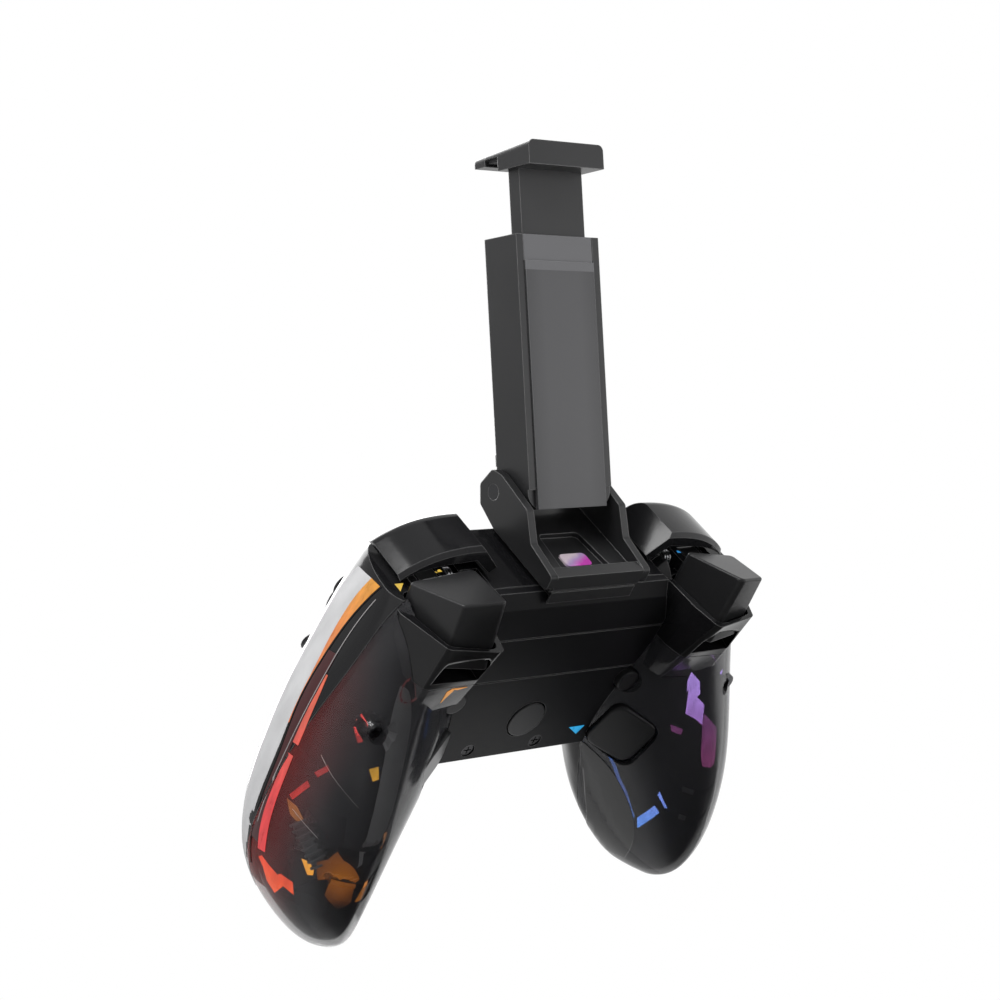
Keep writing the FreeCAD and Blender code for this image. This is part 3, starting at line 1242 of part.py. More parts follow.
def upper_jaw():
    roof = GRIP_HIGH + UPPER_PAD_THICK
    lip = JAW_FRONT - JAW_LIP_THICK
    heel = ARM_FRONT - JAW_HEEL
    side = ((JAW_BOTTOM, JAW_BACK), (JAW_TOP, JAW_BACK), (JAW_TOP - JAW_SLOPE, JAW_FRONT),
            (JAW_LIP_BOTTOM, JAW_FRONT), (JAW_LIP_BOTTOM, lip), (roof, lip), (roof, heel),
            (JAW_BOTTOM, heel))
    body = prism_yz(side, -JAW_HALF, JAW_HALF)
    body = rounded_edges(body, JAW_ROUND, lambda edge: abs(abs(middle(edge).x) - JAW_HALF) < NEAR
                         and middle(edge).y > JAW_TOP - JAW_SLOPE - NEAR)
    socket = box(-SLIDER_HALF, SLIDER_HALF, JAW_BOTTOM - 1.0, JAW_BOTTOM + SLIDER_SEAT, SLIDER_BACK,
                 SLIDER_BACK + SLIDER_THICK)
    return body.cut(socket).removeSplitter()


def upper_jaw_pad():
    return box(-JAW_HALF + 1.0, JAW_HALF - 1.0, GRIP_HIGH, GRIP_HIGH + UPPER_PAD_THICK,
               ARM_FRONT - JAW_HEEL + PAD_SHORT, JAW_FRONT - JAW_LIP_THICK - GAP)


def clamp_pieces():
    pieces = {
        "arm_housing": arm_housing(),
        "arm_cover": arm_cover(),
        "lower_jaw_pad": lower_jaw_pad(),
        "slider_bar": slider_bar(),
        "upper_jaw": upper_jaw(),
        "upper_jaw_pad": upper_jaw_pad(),
    }
    for shape in pieces.values():
        shape.Placement = clamp_placement().multiply(shape.Placement)
    return pieces


def body_pieces():
    outside = body_outside()
    inside = body_inside()
    shell = largest_solid(rear_shell().fuse(motor_cradle()))
    guard = trigger_guard()
    pull = trigger()
    rocker = bumper()
    flank_button = paddle()
    small_button = rear_button()
    guide = light_guide()
    buzzer = motor()
    weight = motor_weight()
    return {
        "front_shell": front_shell(outside, inside),
        "rear_shell_right": shell,
        "rear_shell_left": mirrored(shell),
        "back_plate": back_plate(outside, inside),
        "right_trigger_guard": guard,
        "left_trigger_guard": mirrored(guard),
        "right_trigger": pull,
        "left_trigger": mirrored(pull),
        "trigger_pins": Part.makeCompound(both(trigger_pin())),
        "trigger_springs": Part.makeCompound(both(trigger_spring())),
        "right_bumper": rocker,
        "left_bumper": mirrored(rocker),
        "right_paddle": flank_button,
        "left_paddle": mirrored(flank_button),
        "right_rear_button": small_button,
        "left_rear_button": mirrored(small_button),
        "rear_centre_button": rear_centre_button(),
        "shell_screws": shell_screws(),
        "main_board": main_board(),
        "battery": battery(),
        "usb_port": usb_port(),
        "button_mat": button_mat(),
        "right_light_guide": guide,
        "left_light_guide": mirrored(guide),
        "led_strips": Part.makeCompound(both(led_strip())),
        "right_motor": buzzer,
        "left_motor": mirrored(buzzer),
        "right_motor_weight": weight,
        "left_motor_weight": mirrored(weight),
        "cable_connector": cable_connector(),
    }


def control_pieces():
    pieces = {"dpad_cap": dpad_cap(), "dpad_pivot": dpad_pivot()}
    for side, centre in (("right", RIGHT_STICK), ("left", LEFT_STICK)):
        pieces[side + "_stick_base"] = stick_base(centre)
        pieces[side + "_stick_yoke"] = stick_yoke(centre)
        pieces[side + "_stick_rocker"] = stick_rocker(centre)
        pieces[side + "_stick_shaft"] = stick_shaft(centre)
        pieces[side + "_stick_cap"] = stick_cap(centre)
    for name, centre in face_button_centres().items():
        pieces[name] = round_button(centre, FACE_BUTTON_RADIUS, FACE_BUTTON_TOP)
    pieces["home_button"] = round_button(HOME, HOME_RADIUS, CENTRE_TOP)
    pieces["turbo_button"] = round_button(TURBO, TURBO_RADIUS, CENTRE_TOP)
    pieces["select_button"] = slot_button((-SELECT_X, SELECT_Y))
    pieces["start_button"] = slot_button((SELECT_X, SELECT_Y))
    pieces["clip_foot"] = clip_foot()
    pieces["tray"] = tray()
    pieces["tray_window"] = window_block(0.0)
    pieces["tilt_pin"] = tilt_pin()
    return pieces


def pitched(angle):
    return Placement(Vector(0, 0, 0), Rotation(Vector(1, 0, 0), -angle))


def lowest(shape, angle):
    turned = shape.copy()
    turned.Placement = pitched(angle).multiply(turned.Placement)
    return turned.optimalBoundingBox(False).ZMin


def rest_pitch():
    """The pitch at which the grips and the trigger guards touch one surface, by halving."""
    grip = grip_solid(0.0)
    guard = guard_form(0.0, GUARD_SPLIT_Y, RIM_Y)
    low = 0.0
    high = STEEPEST_REST
    while high - low > REST_TOLERANCE:
        angle = (low + high) / 2.0
        if lowest(guard, angle) > lowest(grip, angle):
            low = angle
        else:
            high = angle
    return (low + high) / 2.0


def rest_placement(pieces):
    """Lays the gamepad on its back, with the origin at the middle of its footprint's box."""
    pitch = pitched(rest_pitch())
    turned = Part.makeCompound([shape.copy() for shape in pieces.values()])
    turned.Placement = pitch.multiply(turned.Placement)
    low = turned.optimalBoundingBox(False)
    shift = Placement(Vector(-(low.XMin + low.XMax) / 2.0, -(low.YMin + low.YMax) / 2.0, -low.ZMin),
                      Rotation())
    return shift.multiply(pitch)


def all_pieces():
    pieces = body_pieces()
    pieces.update(control_pieces())
    pieces.update(clamp_pieces())
    return pieces


def main():
    os.makedirs("parts", exist_ok=True)
    pieces = all_pieces()
    rest = rest_placement(pieces)
    for name, shape in pieces.items():
        placed = shape.copy()
        placed.Placement = rest.multiply(placed.Placement)
        placed.exportStep("parts/" + name + ".step")


if __name__ == "__main__":
    main()
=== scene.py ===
import json
import math

import bmesh
import bpy
from mathutils import Matrix, Vector


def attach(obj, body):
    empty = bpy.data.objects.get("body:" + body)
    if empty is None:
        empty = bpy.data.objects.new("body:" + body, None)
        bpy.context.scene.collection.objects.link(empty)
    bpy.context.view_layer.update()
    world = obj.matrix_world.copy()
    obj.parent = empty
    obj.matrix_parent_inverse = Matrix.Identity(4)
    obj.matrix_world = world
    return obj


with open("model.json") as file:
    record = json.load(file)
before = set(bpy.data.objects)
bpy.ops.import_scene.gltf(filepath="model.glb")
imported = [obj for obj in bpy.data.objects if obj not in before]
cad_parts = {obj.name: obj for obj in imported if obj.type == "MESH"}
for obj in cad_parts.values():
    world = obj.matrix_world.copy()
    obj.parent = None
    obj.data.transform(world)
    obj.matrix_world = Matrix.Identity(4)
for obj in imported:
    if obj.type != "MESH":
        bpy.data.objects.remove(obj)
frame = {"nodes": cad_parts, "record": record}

bl_info = {
    "name": "Gamepad looks",
    "version": (1, 0, 0),
    "blender": (4, 5, 0),
    "location": "View3D > Sidebar > Gamepad",
    "description": "Gives the packed gamepad its finishes, lit insides and small parts",
    "category": "Object",
}

NODES = frame["nodes"]
BODY = "gamepad_body"
MM = 0.001


class Link:
    """A socket of a node tree that can stand in a sum, where it adds the Math nodes."""

    def __init__(self, graph, socket):
        self.graph = graph
        self.socket = socket

    def math(self, operation, *values):
        sockets = dict(enumerate(values))
        return self.graph.node("Math", {"operation": operation}, sockets)

    def __add__(self, other):
        return self.math("ADD", self, other)

    __radd__ = __add__

    def __mul__(self, other):
        return self.math("MULTIPLY", self, other)

    __rmul__ = __mul__

    def __sub__(self, other):
        return self.math("SUBTRACT", self, other)

    def __rsub__(self, other):
        return self.math("SUBTRACT", other, self)

    def __truediv__(self, other):
        return self.math("DIVIDE", self, other)

    def __gt__(self, other):
        return self.math("GREATER_THAN", self, other)

    def __lt__(self, other):
        return self.math("LESS_THAN", self, other)

    def __abs__(self):
        return self.math("ABSOLUTE", self)

    def wave(self):
        return self.math("SINE", self)

    def between(self, low, high):
        """0 at low and 1 at high, held at both ends."""
        return self.graph.node(
            "MapRange", {"clamp": True},
            {"Value": self, "From Min": low, "From Max": high})

    def at_least(self, other):
        return self.math("MAXIMUM", self, other)

    def root(self):
        return self.math("SQRT", self)


class Graph:
    """A node tree that is filled by one method."""

    def __init__(self, tree, material=None):
        self.tree = tree
        self.tree.nodes.clear()
        self.material = material

    def node(self, kind, settings=None, sockets=None, output=0):
        """Adds a shader node, sets it up, fills its sockets and returns one output."""
        made = self.tree.nodes.new("ShaderNode" + kind)
        for key, value in (settings or {}).items():
            if key == "stops":
                self.fill_ramp(made.color_ramp, value)
            else:
                setattr(made, key, value)
        for key, value in (sockets or {}).items():
            socket = made.inputs[key]
            if isinstance(value, Link):
                self.tree.links.new(value.socket, socket)
            else:
                socket.default_value = (*value, 1.0) if socket.type == "RGBA" else value
        return Link(self, made.outputs[output]) if made.outputs else None

    @staticmethod
    def fill_ramp(ramp, stops):
        while len(ramp.elements) < len(stops):
            ramp.elements.new(1.0)
        for element, (place, colour) in zip(ramp.elements, stops):
            element.position = place
            element.color = (*colour, 1.0)

    def place(self):
        """The point on the surface, in millimetres."""
        point = self.node("TexCoord", output="Object")
        return self.node("VectorMath", {"operation": "SCALE"}, {0: point, "Scale": 1.0 / MM})

    def split(self, vector):
        made = self.node("SeparateXYZ", None, {0: vector}).socket.node
        return [Link(self, output) for output in made.outputs]

    def noise(self, point, size, detail=2.0, roughness=0.5):
        """Smooth noise from 0 to 1 whose features are size millimetres wide."""
        return self.node("TexNoise", None, {
            "Vector": point, "Scale": 1.0 / size, "Detail": detail, "Roughness": roughness})

    def stretched(self, point, stretch):
        return self.node("VectorMath", {"operation": "MULTIPLY"}, {0: point, 1: stretch})

    def blend(self, factor, first, second):
        return self.node("Mix", {"data_type": "RGBA"}, {0: factor, 6: first, 7: second}, 2)

    def ramp(self, factor, stops):
        return self.node("ValToRGB", {"stops": stops}, {"Fac": factor})

    def bump(self, height, depth, normal=None):
        """Turns a height from 0 to 1 into a surface that is depth millimetres deep."""
        sockets = {"Height": height, "Distance": depth * MM, "Strength": 1.0}
        if normal:
            sockets["Normal"] = normal
        return self.node("Bump", None, sockets)

    def soft_edge(self, radius):
        """A normal that rounds the edges off, and how far it turns from the true one, 0 to 1."""
        soft = self.node("Bevel", {"samples": 4}, {"Radius": radius * MM})
        true = self.node("NewGeometry", output="Normal")
        same = self.node("VectorMath", {"operation": "DOT_PRODUCT"}, {0: soft, 1: true}, "Value")
        return soft, (1.0 - same).between(*EDGE_TURN)

    def show(self, shader):
        self.node("OutputMaterial", None, {"Surface": shader})

    def surfaced(self, **values):
        """Ends a finish with a Principled shader and returns its material."""
        sockets = {PRINCIPLED[key]: value for key, value in values.items()}
        self.show(self.node("BsdfPrincipled", None, sockets))
        return self.material


PRINCIPLED = {"colour": "Base Color", "rough": "Roughness", "gloss": "Specular IOR Level",
              "metal": "Metallic", "normal": "Normal", "alpha": "Alpha", "sheen": "Sheen Weight",
              "glow": "Emission Color", "strength": "Emission Strength"}
# How far a softened normal turns from no painted edge highlight to full, and how much lighter the painted
# highlight makes the colour
EDGE_TURN = (0.01, 0.25)
EDGE_SHEEN = 0.13
EDGE_RADIUS = 0.35
# Detail and roughness of a grain's noise
GRAIN = (3.0, 0.6)
# The arm cover's long direction in y and z, where its band starts, and where its painted side shade starts
# and is full
ARM_ALONG = (0.8693, 0.4943)
ARM_BAND = 85.6
ARM_SIDE = (6.0, 11.0)
# Where across the clear shells hide least and most, and where the light strips' glow is painted on them
FLANK_CLEAR = 56.0
FLANK_DENSE = 44.0
GLOW_SIDE = (58.0, 71.0)
GLOW_HEIGHT = (9.0, 24.0)
# The ranges of y over which colours run
GUIDE_RUN = (-82.0, 2.0)
FILM_RUN = (-78.0, 0.0)
# How fast the window's painted glint changes along x and z, and where it starts
WINDOW_GLINT_RUN = (0.12, 0.22)
WINDOW_GLINT_START = 4.9
# Radians of the lighter lines' wave per millimetre, and how high on it a line starts
LINE_TURN = 1.1
LINE_CREST = 0.965


def new_finish(name):
    """The graph of a new material, and the point on its surface."""
    material = bpy.data.materials.new(name)
    material.use_nodes = True
    g = Graph(material.node_tree, material)
    return g, g.place()


def shade(colour, factor):
    """A colour made lighter or darker by a factor."""
    return tuple(min(1.0, c * factor) for c in colour)


def plastic(name, colour, rough, gloss, grain, grain_size):
    """Moulded plastic: spark-eroded grain, a slow drift of shade, rounded edges that catch the light, and a
    painted highlight along them.
    """
    g, point = new_finish(name)
    fine = g.noise(point, grain_size, *GRAIN)
    slow = g.noise(point, 22.0)
    soft, edge = g.soft_edge(EDGE_RADIUS)
    body = g.blend(slow, colour, shade(colour, 1.35))
    # Painted highlight: the edges' colour is made lighter by EDGE_SHEEN, on top of the light that the
    # rounded normal catches
    return g.surfaced(
        colour=g.blend(edge, body, [c + EDGE_SHEEN for c in colour]),
        rough=(slow - 0.5) * 0.08 + (fine - 0.5) * 0.06 + rough, gloss=gloss,
        normal=g.bump(fine, grain, soft))


def arm_cover(name, colour):
    """Grained grey plastic with painted shade towards its sides, a painted highlight along its edges, and
    the paler band at its upper end.
    """
    g, point = new_finish(name)
    x, y, z = g.split(point)
    fine = g.noise(point, 0.16, *GRAIN)
    side = abs(x).between(*ARM_SIDE)
    band = (y * ARM_ALONG[0] + z * ARM_ALONG[1]) > ARM_BAND
    soft, edge = g.soft_edge(0.3)
    # Painted shade: the colour darkens towards the cover's sides
    face = g.blend(side * 0.45, colour, shade(colour, 0.4))
    face = g.blend(band, face, shade(colour, 1.7))
    # Painted highlight: the edges turn towards a pale grey
    return g.surfaced(
        colour=g.blend(edge * 0.6, face, (0.2, 0.2, 0.205)), rough=fine * 0.08 + 0.42, gloss=0.2,
        normal=g.bump(fine, 0.012, soft))


def smoked_shell(name, colour, strip_glow, cover, inner_cover):
    """Clear smoked plastic with a polished skin, denser inside, with the glow of the light strips painted on
    it beside them.
    """
    g, point = new_finish(name)
    x, _, z = g.split(point)
    flow = g.noise(g.stretched(point, (1.0, 0.25, 1.0)), 9.0)
    # Painted glow: beside the light strips the colour turns towards the strips' glow colour
    glow_spill = abs(x).between(*GLOW_SIDE) * z.between(*GLOW_HEIGHT) * (flow * 0.8 + 0.5)
    plain = g.blend(flow, colour, shade(colour, 1.3))
    hides = cover
    if inner_cover != cover:
        hides = abs(x).between(FLANK_CLEAR, FLANK_DENSE) * (inner_cover - cover) + cover
    return g.surfaced(colour=g.blend(glow_spill, plain, strip_glow), rough=flow * 0.03 + 0.07, gloss=0.3, alpha=hides)


def rubber(name, colour):
    g, point = new_finish(name)
    broad = g.noise(point, 6.0)
    return g.surfaced(
        colour=g.blend(broad, colour, shade(colour, 1.5)), rough=broad * 0.1 + 0.66, gloss=0.25, sheen=0.06,
        normal=g.bump(g.noise(point, 0.25), 0.03))


def metal(name, colour, rough, stretch):
    """Drawn or turned metal, with fine lines along the axis that is stretched least."""
    g, point = new_finish(name)
    lines = g.noise(g.stretched(point, stretch), 0.4)
    return g.surfaced(
        colour=g.blend(lines, colour, shade(colour, 0.8)), metal=1.0, rough=lines * 0.12 + rough,
        normal=g.bump(lines, 0.004))


def circuit_board(name):
    """Solder mask with copper tracks under it and tinned pads."""
    g, point = new_finish(name)
    x, y, _ = g.split(point)
    flat = g.node("CombineXYZ", None, {0: x, 1: y})
    tracks = g.node("TexBrick", {"offset": 0.35}, {
        "Vector": flat, "Scale": 0.28, "Mortar Size": 0.03, "Row Height": 0.3, "Brick Width": 1.4},
        output="Fac")
    cells = g.node("TexVoronoi", {"feature": "F1"}, {"Vector": flat, "Scale": 0.3}, "Distance")
    pads = cells < 0.16
    board = g.blend(tracks, (0.006, 0.045, 0.022), (0.02, 0.12, 0.05))
    return g.surfaced(
        colour=g.blend(pads, board, (0.62, 0.6, 0.55)), metal=pads * 0.9, rough=0.42 - pads * 0.12)


def foil(name, colour):
    g, point = new_finish(name)
    creases = g.noise(point, 3.0, 3.0)
    return g.surfaced(
        colour=g.blend(creases, colour, shade(colour, 0.75)), rough=creases * 0.2 + 0.3, metal=0.35,
        normal=g.bump(creases, 0.06))


def lit_bar(name, stops, strength):
    """A light guide whose colour runs along the grip, brighter where it has light-catching notches."""
    g, point = new_finish(name)
    _, y, _ = g.split(point)
    colour = g.ramp(y.between(*GUIDE_RUN), stops)
    notches = ((y * 2.6).wave() * 0.5 + 0.5) * 0.18
    return g.surfaced(
        colour=colour, rough=notches * 0.4 + 0.2, glow=g.blend(notches, colour, (1.0, 0.95, 0.9)),
        strength=strength)


def coated_window(name):
    """A glossy window with a painted glint that runs from pink to silver and glows faintly."""
    g, point = new_finish(name)
    x, _, z = g.split(point)
    # Painted glint: the colour runs across the window and also glows faintly
    run = x * WINDOW_GLINT_RUN[0] + z * WINDOW_GLINT_RUN[1] - WINDOW_GLINT_START
    colour = g.ramp((run + g.noise(point, 2.0) * 0.4).between(-0.4, 0.7), WINDOW_GLINT)
    return g.surfaced(colour=colour, rough=0.12, metal=0.4, glow=colour, strength=0.08)


def lit_film(name, stops, strength):
    """A glowing film whose colour runs along the grip, with soft streaks in its glow."""
    g, point = new_finish(name)
    _, y, _ = g.split(point)
    colour = g.ramp(y.between(*FILM_RUN), stops)
    streaks = g.noise(g.stretched(point, (2.0, 0.5, 2.0)), 3.0, 3.0).between(0.3, 0.75)
    deeper = g.blend(0.35, colour, (0.0, 0.0, 0.0))
    return g.surfaced(
        colour=(0.02, 0.02, 0.02), rough=streaks * 0.15 + 0.25, gloss=0.2,
        glow=g.blend(streaks, deeper, colour), strength=strength)


def glow_plate(name, centre, reach, stops, strength):
    """A glowing film with a painted pool of light, brightest at its centre and fading out with distance."""
    g, point = new_finish(name)
    away = g.node("VectorMath", {"operation": "DISTANCE"}, {0: point, 1: centre}, "Value")
    clouds = g.noise(point, 3.0, 3.0) * 0.35
    return g.surfaced(
        colour=(0.01, 0.008, 0.006), rough=clouds + 0.3, gloss=0.15,
        glow=g.ramp((away / reach + clouds - 0.17).between(0.0, 1.0), stops), strength=strength)


def tinted_film(name, colour, rough, gloss=0.3):
    """A thin unlit film with slow drifts of shade. It carries the painted edge reflection and rim highlight
    as well as seams, frames, facets, threads and print.
    """
    g, point = new_finish(name)
    drift = g.noise(g.stretched(point, (1.0, 0.3, 1.0)), 6.0, 3.0)
    return g.surfaced(
        colour=g.blend(drift, shade(colour, 0.75), shade(colour, 1.25)), rough=drift * 0.1 + rough,
        gloss=gloss)


def chassis_plastic(name):
    """The dark moulding inside the grips, with lighter lines across it."""
    g, point = new_finish(name)
    _, y, _ = g.split(point)
    lighter_lines = (y * LINE_TURN).wave() > LINE_CREST
    patches = g.noise(g.stretched(point, (1.0, 0.4, 1.0)), 7.0, 3.0)
    plain = g.blend(patches, (0.003, 0.003, 0.0035), (0.011, 0.011, 0.012))
    return g.surfaced(
        colour=g.blend(lighter_lines, plain, (0.018, 0.018, 0.02)), rough=patches * 0.2 + 0.45, gloss=0.12)


AMBER_TO_RED = [
    (0.0, (0.95, 0.10, 0.03)), (0.25, (0.88, 0.05, 0.045)), (0.55, (0.85, 0.09, 0.06)),
    (0.8, (0.9, 0.2, 0.03)), (1.0, (0.93, 0.42, 0.03))]
BLUE_TO_VIOLET = [
    (0.0, (0.08, 0.2, 0.8)), (0.3, (0.06, 0.3, 0.85)), (0.6, (0.35, 0.2, 0.8)), (1.0, (0.45, 0.28, 0.85))]
AMBER_WEDGE = [
    (0.0, (0.8, 0.12, 0.03)), (0.55, (0.85, 0.2, 0.045)), (0.8, (0.87, 0.25, 0.04)),
    (1.0, (0.92, 0.39, 0.025))]
VIOLET_WEDGE = [(0.0, (0.2, 0.25, 0.9)), (0.6, (0.35, 0.22, 0.85)), (1.0, (0.5, 0.3, 0.85))]
CORAL_STRIPE = [
    (0.0, (0.8, 0.03, 0.035)), (0.3, (0.77, 0.045, 0.05)), (0.5, (0.8, 0.1, 0.07)),
    (0.75, (0.82, 0.16, 0.07)), (1.0, (0.82, 0.2, 0.07))]
BLUE_STRIPE = [(0.0, (0.03, 0.2, 0.85)), (0.5, (0.08, 0.3, 0.85)), (1.0, (0.3, 0.25, 0.85))]
RED_PAINTED_LIGHT = [
    (0.0, (0.9, 0.1, 0.02)), (0.12, (0.85, 0.05, 0.03)), (0.4, (0.35, 0.02, 0.02)), (1.0, (0.5, 0.04, 0.03))]
AMBER_PAINTED_LIGHT = [
    (0.0, (0.95, 0.38, 0.03)), (0.3, (0.9, 0.4, 0.04)), (0.55, (0.3, 0.19, 0.02)), (0.8, (0.85, 0.3, 0.04)),
    (1.0, (0.9, 0.6, 0.08))]
BROWN_PAINTED_LIGHT = [(0.0, (0.75, 0.25, 0.03)), (1.0, (0.6, 0.3, 0.12))]
LIGHT_POOL = [
    (0.0, (0.5, 0.16, 0.012)), (0.5, (0.3, 0.085, 0.008)), (0.85, (0.06, 0.015, 0.003)),
    (1.0, (0.0, 0.0, 0.0))]
LAVENDER_PAINTED_LIGHT = [
    (0.0, (0.4, 0.22, 0.75)), (0.45, (0.38, 0.18, 0.6)), (0.6, (0.42, 0.26, 0.75)), (1.0, (0.4, 0.28, 0.8))]
MAUVE_PAINTED_LIGHT = [
    (0.0, (0.5, 0.08, 0.25)), (0.35, (0.5, 0.1, 0.35)), (0.6, (0.35, 0.14, 0.5)), (1.0, (0.25, 0.2, 0.6))]
BLUE_PAINTED_LIGHT = [
    (0.0, (0.1, 0.3, 0.9)), (0.15, (0.2, 0.3, 0.85)), (0.3, (0.06, 0.2, 0.7)), (1.0, (0.03, 0.35, 0.85))]
CYAN_PAINTED_LIGHT = [(0.0, (0.02, 0.45, 0.85)), (1.0, (0.02, 0.4, 0.85))]
WINDOW_GLINT = [(0.0, (0.5, 0.06, 0.4)), (0.4, (0.4, 0.28, 0.5)), (0.75, (0.6, 0.5, 0.56))]
STATUS = [(0.0, (0.75, 0.8, 0.85)), (1.0, (0.75, 0.8, 0.85))]

# The glow of the light strips, painted on the smoked shells beside them: warm on the right, cool on the left
WARM_PAINTED_GLOW = (0.16, 0.012, 0.010)
COOL_PAINTED_GLOW = (0.012, 0.012, 0.07)
FRAME_RED = (0.03, 0.004, 0.005)
FRAME_BLUE = (0.004, 0.005, 0.03)
# How much one face of a clear shell hides towards the middle
INNER_COVER = 0.8


def finish_of(slot, looks):
    """The finish for one of the record's material slots.

    A plastic's numbers are its roughness, gloss, grain depth and grain size, and a metal's are
    its roughness and the stretch of its lines.
    """
    make, *values = {
        "smoke_clear": (smoked_shell, "smoked clear shell", looks.smoke, WARM_PAINTED_GLOW, looks.smoke_cover,
                        INNER_COVER),
        "gloss_black": (plastic, "gloss black moulding", looks.gloss_colour, 0.13, 0.2, 0.004, 0.5),
        "satin_black": (plastic, "satin black moulding", looks.satin_colour, 0.32, 0.2, 0.005, 0.16),
        "matte_black": (plastic, "matte black moulding", looks.plate_colour, 0.4, 0.09, 0.007, 0.2),
        "arm_grey": (arm_cover, "grey arm cover", looks.arm_colour),
        "rubber_black": (rubber, "soft black rubber", (0.012, 0.012, 0.013)),
        "steel": (metal, "drawn steel", (0.56, 0.56, 0.58), 0.22, (1.0, 6.0, 6.0)),
        "board_green": (circuit_board, "circuit board"),
        "battery_wrap": (foil, "battery wrap", (0.3, 0.33, 0.37)),
        "guide_clear": (lit_bar, "warm light guide", AMBER_TO_RED, looks.glow),
        "guide_clear_left": (lit_bar, "cool light guide", BLUE_TO_VIOLET, looks.glow),
        "socket_metal": (metal, "plated socket", (0.72, 0.72, 0.74), 0.16, (6.0, 1.0, 6.0)),
        "window_clear": (coated_window, "coated window"),
    }[slot]
    return make(*values)


def take(piece):
    """Selects one piece alone and makes it the active one."""
    bpy.ops.object.select_all(action="DESELECT")
    piece.select_set(True)
    bpy.context.view_layer.objects.active = piece
    return piece


def fresh(add, **settings):
    """Adds a primitive with nothing else selected."""
    bpy.ops.object.select_all(action="DESELECT")
    add(**settings)
    return bpy.context.active_object


def modify(piece, kind, **settings):
    take(piece)
    modifier = piece.modifiers.new(kind.title(), kind)
    for key, value in settings.items():
        setattr(modifier, key, value)
    bpy.ops.object.modifier_apply(modifier=modifier.name)
    return piece


def closed(piece):
    bpy.ops.object.mode_set(mode="OBJECT")
    return piece


def edited(piece, step, **settings):
    """Runs one edit mode step on all of a piece's faces."""
    take(piece)
    bpy.ops.object.mode_set(mode="EDIT")
    bpy.ops.mesh.select_all(action="SELECT")
    step(**settings)
    return closed(piece)


def joined(pieces):
    take(pieces[0])
    for piece in pieces[1:]:
        piece.select_set(True)
    if len(pieces) > 1:
        bpy.ops.object.join()
    return bpy.context.active_object


def disc(place, turn, radius, depth, rim, sides):
    """A round plate with rounded rims, in millimetres apart from its place."""
    plate = fresh(bpy.ops.mesh.primitive_cylinder_add, vertices=sides, radius=radius * MM,
                  depth=depth * MM, location=place, rotation=turn)
    return modify(plate, "BEVEL", width=rim * MM, segments=2)


def placed(piece):
    """Takes a piece's place and turn into its mesh."""
    take(piece)
    bpy.ops.object.transform_apply(location=True, rotation=True, scale=True)
    return piece


def finished(piece, name, finish, body=BODY):
    """Names a piece, gives it its finish, and says what it rides on."""
    piece.name = name
    piece.data.name = name
    piece.data.materials.clear()
    piece.data.materials.append(finish)
    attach(piece, body)
    return piece


def node_copy(*nodes):
    """One merged copy of some CAD nodes' surfaces."""
    copies = []
    for node in nodes:
        piece = bpy.data.objects.new(node + "_copy", NODES[node].data.copy())
        bpy.context.scene.collection.objects.link(piece)
        copies.append(piece)
    return edited(joined(copies), bpy.ops.mesh.remove_doubles, threshold=0.001 * MM)


def opened(piece, kind):
    """Opens a piece in edit mode with nothing selected, and returns its mesh."""
    take(piece)
    bpy.ops.object.mode_set(mode="EDIT")
    bpy.ops.mesh.select_mode(type=kind)
    bpy.ops.mesh.select_all(action="DESELECT")
    return bmesh.from_edit_mesh(piece.data)


def move_corners(piece, places):
    """Moves each corner of a piece to a place of its own, in millimetres."""
    opened(piece, "VERT")
    for index, place in enumerate(places):
        bpy.ops.mesh.select_all(action="DESELECT")
        mesh = bmesh.from_edit_mesh(piece.data)
        mesh.verts.ensure_lookup_table()
        corner = mesh.verts[index]
        corner.select_set(True)
        bmesh.update_edit_mesh(piece.data)
        bpy.ops.transform.translate(value=Vector(place) * MM - corner.co)
    return closed(piece)


def keep_faces(piece, wanted):
    """Deletes each face unless wanted(centre in millimetres, normal) is true."""
    mesh = opened(piece, "FACE")
    for face in mesh.faces:
        face.select_set(not wanted(face.calc_center_median() / MM, face.normal))
    bmesh.update_edit_mesh(piece.data)
    bpy.ops.mesh.delete(type="FACE")
    return closed(piece)


def held_inside(piece, side, limit):
    """Moves the corners that stand further out than limit millimetres back to it."""
    mesh = opened(piece, "VERT")
    outside = [corner for corner in mesh.verts if corner.co.x * side > limit * MM]
    for corner in outside:
        corner.select_set(True)
    bmesh.update_edit_mesh(piece.data)
    if outside:
        bpy.ops.transform.resize(value=(0.0, 1.0, 1.0), center_override=(side * limit * MM, 0.0, 0.0))
    return closed(piece)


def ribbon(left, right):
    """A band between two edges that have the same number of points."""
    piece = fresh(bpy.ops.mesh.primitive_grid_add, x_subdivisions=1, y_subdivisions=len(left) - 1, size=MM)
    return move_corners(piece, [place for pair in zip(left, right) for place in pair])


def chip(corners):
    """A flat many-cornered face, ready to be curved over a wall."""
    piece = fresh(bpy.ops.mesh.primitive_circle_add, vertices=len(corners), radius=MM, fill_type="NGON")
    move_corners(piece, corners)
    return edited(piece, bpy.ops.mesh.quads_convert_to_tris, ngon_method="BEAUTY")


def laid_on(piece, ground, lift, thick, rounded=True):
    """Curves a flat piece over a wall, lift millimetres off it, and gives it a thickness."""
    form = "CATMULL_CLARK" if rounded else "SIMPLE"
    modify(piece, "SUBSURF", levels=3, render_levels=3, subdivision_type=form,
           boundary_smooth="PRESERVE_CORNERS")
    modify(piece, "SHRINKWRAP", target=ground, wrap_method="NEAREST_SURFACEPOINT",
           wrap_mode="ABOVE_SURFACE", offset=lift * MM)
    modify(piece, "SOLIDIFY", thickness=thick * MM, offset=0.0)
    return edited(piece, bpy.ops.mesh.normals_make_consistent, inside=False)


def beside(places, side):
    """The same places on the right side, 1, or mirrored to the left, -1."""
    return [(x * side, y, z) for x, y, z in places]


